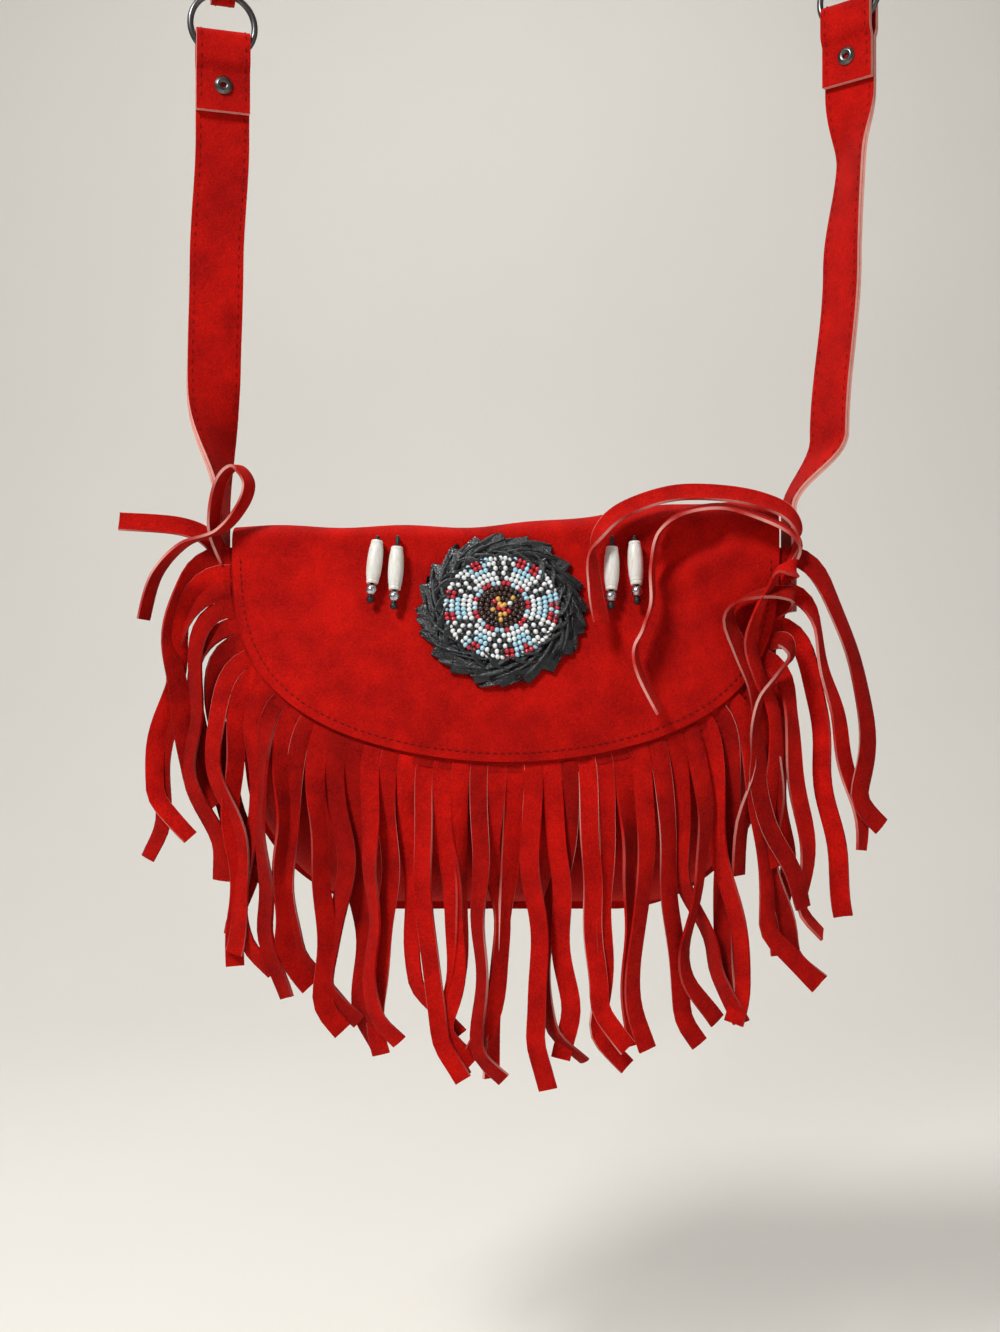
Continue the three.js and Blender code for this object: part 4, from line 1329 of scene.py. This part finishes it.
class BAG_OT_straps(bpy.types.Operator):
    """Make the lower straps and the upper strap, each of two layers"""

    bl_idname = "bag.make_straps"
    bl_label = "Straps"

    shares = (0.0, 0.015, 0.12, 0.3, 0.5, 0.7, 0.88, 0.985, 1.0)

    def execute(self, context):
        shape = shape_of(context)
        colours = context.scene.bag_colours
        suede = [suede_material(colours), cut_edge_material(colours)]
        thread = [thread_material(colours)]
        for side in ("left", "right"):
            line, sides = self.lower_line(shape, side)
            widths = [shape.strap_width] * len(line)
            self.make(shape, "suede_strap_" + side, "strap_" + side, line, sides, widths, suede, thread)
        line, sides, widths = self.upper_line(shape)
        self.make(shape, "suede_strap_upper", "strap_upper", line, sides, widths, suede, thread)
        return {"FINISHED"}

    def make(self, shape, name, node, line, sides, widths, suede, thread):
        layer = shape.strap_thickness / 2
        bm = bmesh.new()
        for offset in (-layer / 2 - 0.03, layer / 2 + 0.03):
            add_ribbon(bm, shape, line, sides, widths, self.shares, offset=offset)
        give_thickness(bm, (layer - 0.12) * MM)
        piece = finish_piece(name, bm, suede, "bag")
        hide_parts(node)
        places = []
        run = 0.0
        for k in range(2, len(line) - 2):
            run += (line[k] - line[k - 1]).length
            if run < 3.4:
                continue
            run = 0.0
            step = (line[k + 1] - line[k - 1]).normalized()
            across = (sides[k] - step * sides[k].dot(step)).normalized()
            out = step.cross(across)
            for w in (-1, 1):
                for face in (-1, 1):
                    p = line[k] + across * w * (widths[k] / 2 - 2.2) + out * face * (layer + 0.05)
                    places.append((p, step, out * face))
        bm = bmesh.new()
        add_stitches(bm, shape, places, (2.4, 0.65, 0.5))
        finish_piece(name.replace("suede_", "") + "_stitching", bm, thread, "bag")

    def lower_line(self, shape, side):
        """From the strap's foot up, over the ring and down to the tab's end."""
        x, turn, fold = shape.strap_run(side)
        bottom = fold - shape.slot_of(shape.strap_width)
        leg = shape.leg_y
        out = shape.loop_out
        flat = []
        for k in range(111):
            flat.append((leg, mix(shape.strap_foot, bottom - shape.tab_spread, k / 110)))
        for k in range(1, 9):
            t = k / 8
            flat.append((mix(leg, out, smooth(t)), bottom - shape.tab_spread * (1 - t)))
        flat.append((out, mix(bottom, fold, 0.5)))
        for k in range(17):
            a = k / 16 * math.pi
            flat.append((out * math.cos(a), fold + out * math.sin(a)))
        flat.append((-out, mix(bottom, fold, 0.5)))
        for k in range(9):
            t = k / 8
            flat.append((-mix(out, leg, smooth(t)), bottom - shape.tab_spread * t))
        end = fold - shape.tab_length
        for k in range(1, 9):
            flat.append((-leg, mix(bottom - shape.tab_spread, end, k / 8)))
        line = []
        sides = []
        for y, z in flat:
            a = turn(z)
            line.append(Vector((x(z) - y * math.sin(a), shape.strap_y + y * math.cos(a), z)))
            sides.append(Vector((math.cos(a), math.sin(a), 0)))
        return line, sides

    def tongue(self, shape, side):
        """The narrow end at one ring: from its free end in front, under the wire and up behind."""
        ring, turn = shape.ring_place(side)
        fold = ring.z + shape.ring_lift(shape.tongue_width)
        opens = fold + shape.slot_of(shape.tongue_width)
        across = Vector((math.cos(turn), math.sin(turn), 0))
        back = Vector((-math.sin(turn), math.cos(turn), 0))
        leg = shape.leg_y
        out = shape.loop_out
        top = fold + shape.tongue_length
        flat = [(-leg, mix(top, opens + shape.tab_spread, k / 6)) for k in range(6)]
        for k in range(9):
            t = k / 8
            flat.append((-mix(leg, out, smooth(t)), opens + shape.tab_spread * (1 - t)))
        for k in range(17):
            a = k / 16 * math.pi
            flat.append((-out * math.cos(a), fold - out * math.sin(a)))
        for k in range(9):
            t = k / 8
            flat.append((mix(out, leg, smooth(t)), opens + shape.tab_spread * t))
        flat += [(leg, mix(opens + shape.tab_spread, top, k / 6)) for k in range(1, 7)]
        return [Vector((ring.x, ring.y, z)) + back * y for y, z in flat], across

    def upper_line(self, shape):
        left, left_side = self.tongue(shape, "left")
        right, right_side = self.tongue(shape, "right")
        top_z = shape.strap_drop + shape.half
        arch = []
        for ends, sign in ((left[-1], -1), (right[-1], 1)):
            a = ends + Vector((0, 0, shape.taper_length))
            b = Vector((ends.x, 0, ends.z + shape.rise))
            c = Vector((ends.x * 0.62, 0, top_z))
            d = Vector((sign * shape.flat_run, 0, top_z))
            curve = []
            for k in range(51):
                t = k / 50
                u = 1 - t
                curve.append(a * u ** 3 + b * 3 * u * u * t + c * 3 * u * t * t + d * t ** 3)
            arch.append(curve)
        level = [Vector((mix(-shape.flat_run, shape.flat_run, k / 12), 0, top_z)) for k in range(1, 12)]
        middle = arch[0] + level + arch[1][::-1]
        left_taper = [left[-1].lerp(middle[0], k / 8) for k in range(1, 8)]
        right_taper = [middle[-1].lerp(right[-1], k / 8) for k in range(1, 8)]
        line = left + left_taper + middle + right_taper + right[::-1]
        across = Vector((0, 1, 0))
        right_side = -right_side
        sides = [left_side] * (len(left) + len(left_taper))
        for k in range(len(middle)):
            share = k / (len(middle) - 1)
            if share < 0.5:
                sides.append(left_side.lerp(across, smooth(share * 2.6)))
            else:
                sides.append(right_side.lerp(across, smooth((1 - share) * 2.6)))
        sides += [right_side] * (len(right_taper) + len(right))
        widths = [shape.tongue_width] * len(left)
        widths += [mix(shape.tongue_width, shape.strap_width, smooth(k / 8)) for k in range(1, 8)]
        widths += [shape.strap_width] * len(middle)
        widths += [mix(shape.strap_width, shape.tongue_width, smooth(k / 8)) for k in range(1, 8)]
        widths += [shape.tongue_width] * len(right)
        return line, sides, widths


class BAG_OT_fittings(bpy.types.Operator):
    """Make the rings and the rivets"""

    bl_idname = "bag.make_fittings"
    bl_label = "Rings and rivets"

    def execute(self, context):
        shape = shape_of(context)
        colours = context.scene.bag_colours
        metal = metal_material("dark_gunmetal", colours.gunmetal, 0.25, 0.42)
        for side in ("left", "right"):
            centre, turn = shape.ring_place(side)
            bm = bmesh.new()
            made = bmesh.ops.create_circle(bm, segments=20, radius=shape.ring_wire * MM)["verts"]
            upright = Matrix.Rotation(math.pi / 2, 4, "X")
            moved = Matrix.Translation((shape.ring_radius * MM, 0, 0)) @ upright
            bmesh.ops.transform(bm, matrix=moved, verts=made)
            bmesh.ops.spin(
                bm,
                geom=bm.verts[:] + bm.edges[:],
                cent=(0, 0, 0),
                axis=(0, 0, 1),
                angle=math.tau,
                steps=72,
                use_merge=True,
            )
            place = Matrix.Translation(shape.world(centre)) @ (Matrix.Rotation(turn, 4, "Z") @ upright)
            bmesh.ops.transform(bm, matrix=place, verts=bm.verts[:])
            bmesh.ops.remove_doubles(bm, verts=bm.verts[:], dist=1e-7)
            bmesh.ops.recalc_face_normals(bm, faces=bm.faces[:])
            ring = finish_piece("steel_ring_" + side, bm, [metal], side + "_ring")
            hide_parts("ring_" + side)
            for node, (p, a) in (
                ("rivet_" + side, shape.rivet_place(side)),
                ("rivet_upper_" + side, shape.upper_rivet_place(side)),
            ):
                rivet = self.rivet(shape, "hollow_" + node, p, a, metal)
                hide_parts(node)
        return {"FINISHED"}

    def rivet(self, shape, name, p, turn, metal):
        f = shape.leg_y + shape.half + shape.gap
        bore = 1.1
        shank = 2.2
        flange = 4.2
        dome = [(flange - 0.9, f + 0.75), (3.0, f + 1.08), (2.4, f + 1.12)]
        dome += [(1.8, f + 0.95), (1.35, f + 0.7)]
        top = [(shank, f), (flange - 0.15, f), (flange, f + 0.15), (flange - 0.2, f + 0.42)] + dome
        under = [(r, -h) for r, h in reversed(top)]
        profile = [(bore, -f - 0.4)] + under + top + [(bore, f + 0.4), (bore, -f - 0.4)]
        facing = Matrix.Rotation(turn, 4, "Z")
        place = Matrix.Translation(shape.world(p)) @ facing @ Matrix.Rotation(-math.pi / 2, 4, "X")
        bm = bmesh.new()
        spin_profile(bm, profile, 36, place)
        return finish_piece(name, bm, [metal], "bag", sharp=45)


class BAG_PT_panel(bpy.types.Panel):
    """Lists the sizes, the colours and the steps that make the bag"""

    bl_idname = "BAG_PT_panel"
    bl_label = "Fringed suede bag"
    bl_space_type = "VIEW_3D"
    bl_region_type = "UI"
    bl_category = "Bag"

    def draw(self, context):
        for step in STEPS:
            self.layout.operator(step.bl_idname)
        for group in (context.scene.bag_sizes, context.scene.bag_colours):
            box = self.layout.box()
            for name in group.__annotations__:
                box.prop(group, name)


STEPS = (
    BAG_OT_stage,
    BAG_OT_flap,
    BAG_OT_pouch,
    BAG_OT_fringe,
    BAG_OT_rosette,
    BAG_OT_beads,
    BAG_OT_pendants,
    BAG_OT_straps,
    BAG_OT_fittings,
)
CLASSES = (BagSizes, BagColours) + STEPS + (BAG_PT_panel,)


def register():
    for cls in CLASSES:
        bpy.utils.register_class(cls)
    bpy.types.Scene.bag_sizes = bpy.props.PointerProperty(type=BagSizes)
    bpy.types.Scene.bag_colours = bpy.props.PointerProperty(type=BagColours)


def unregister():
    del bpy.types.Scene.bag_colours
    del bpy.types.Scene.bag_sizes
    for cls in reversed(CLASSES):
        bpy.utils.unregister_class(cls)


def plain(box):
    return [[float(x) for x in corner] for corner in box]


def main():
    register()
    bpy.ops.bag.make_stage()
    bpy.ops.bag.make_flap()
    bpy.ops.bag.make_pouch()
    bpy.ops.bag.make_fringe()
    bpy.ops.bag.make_rosette()
    bpy.ops.bag.make_beads()
    bpy.ops.bag.make_pendants()
    bpy.ops.bag.make_straps()
    bpy.ops.bag.make_fittings()


if __name__ == "__main__":
    main()
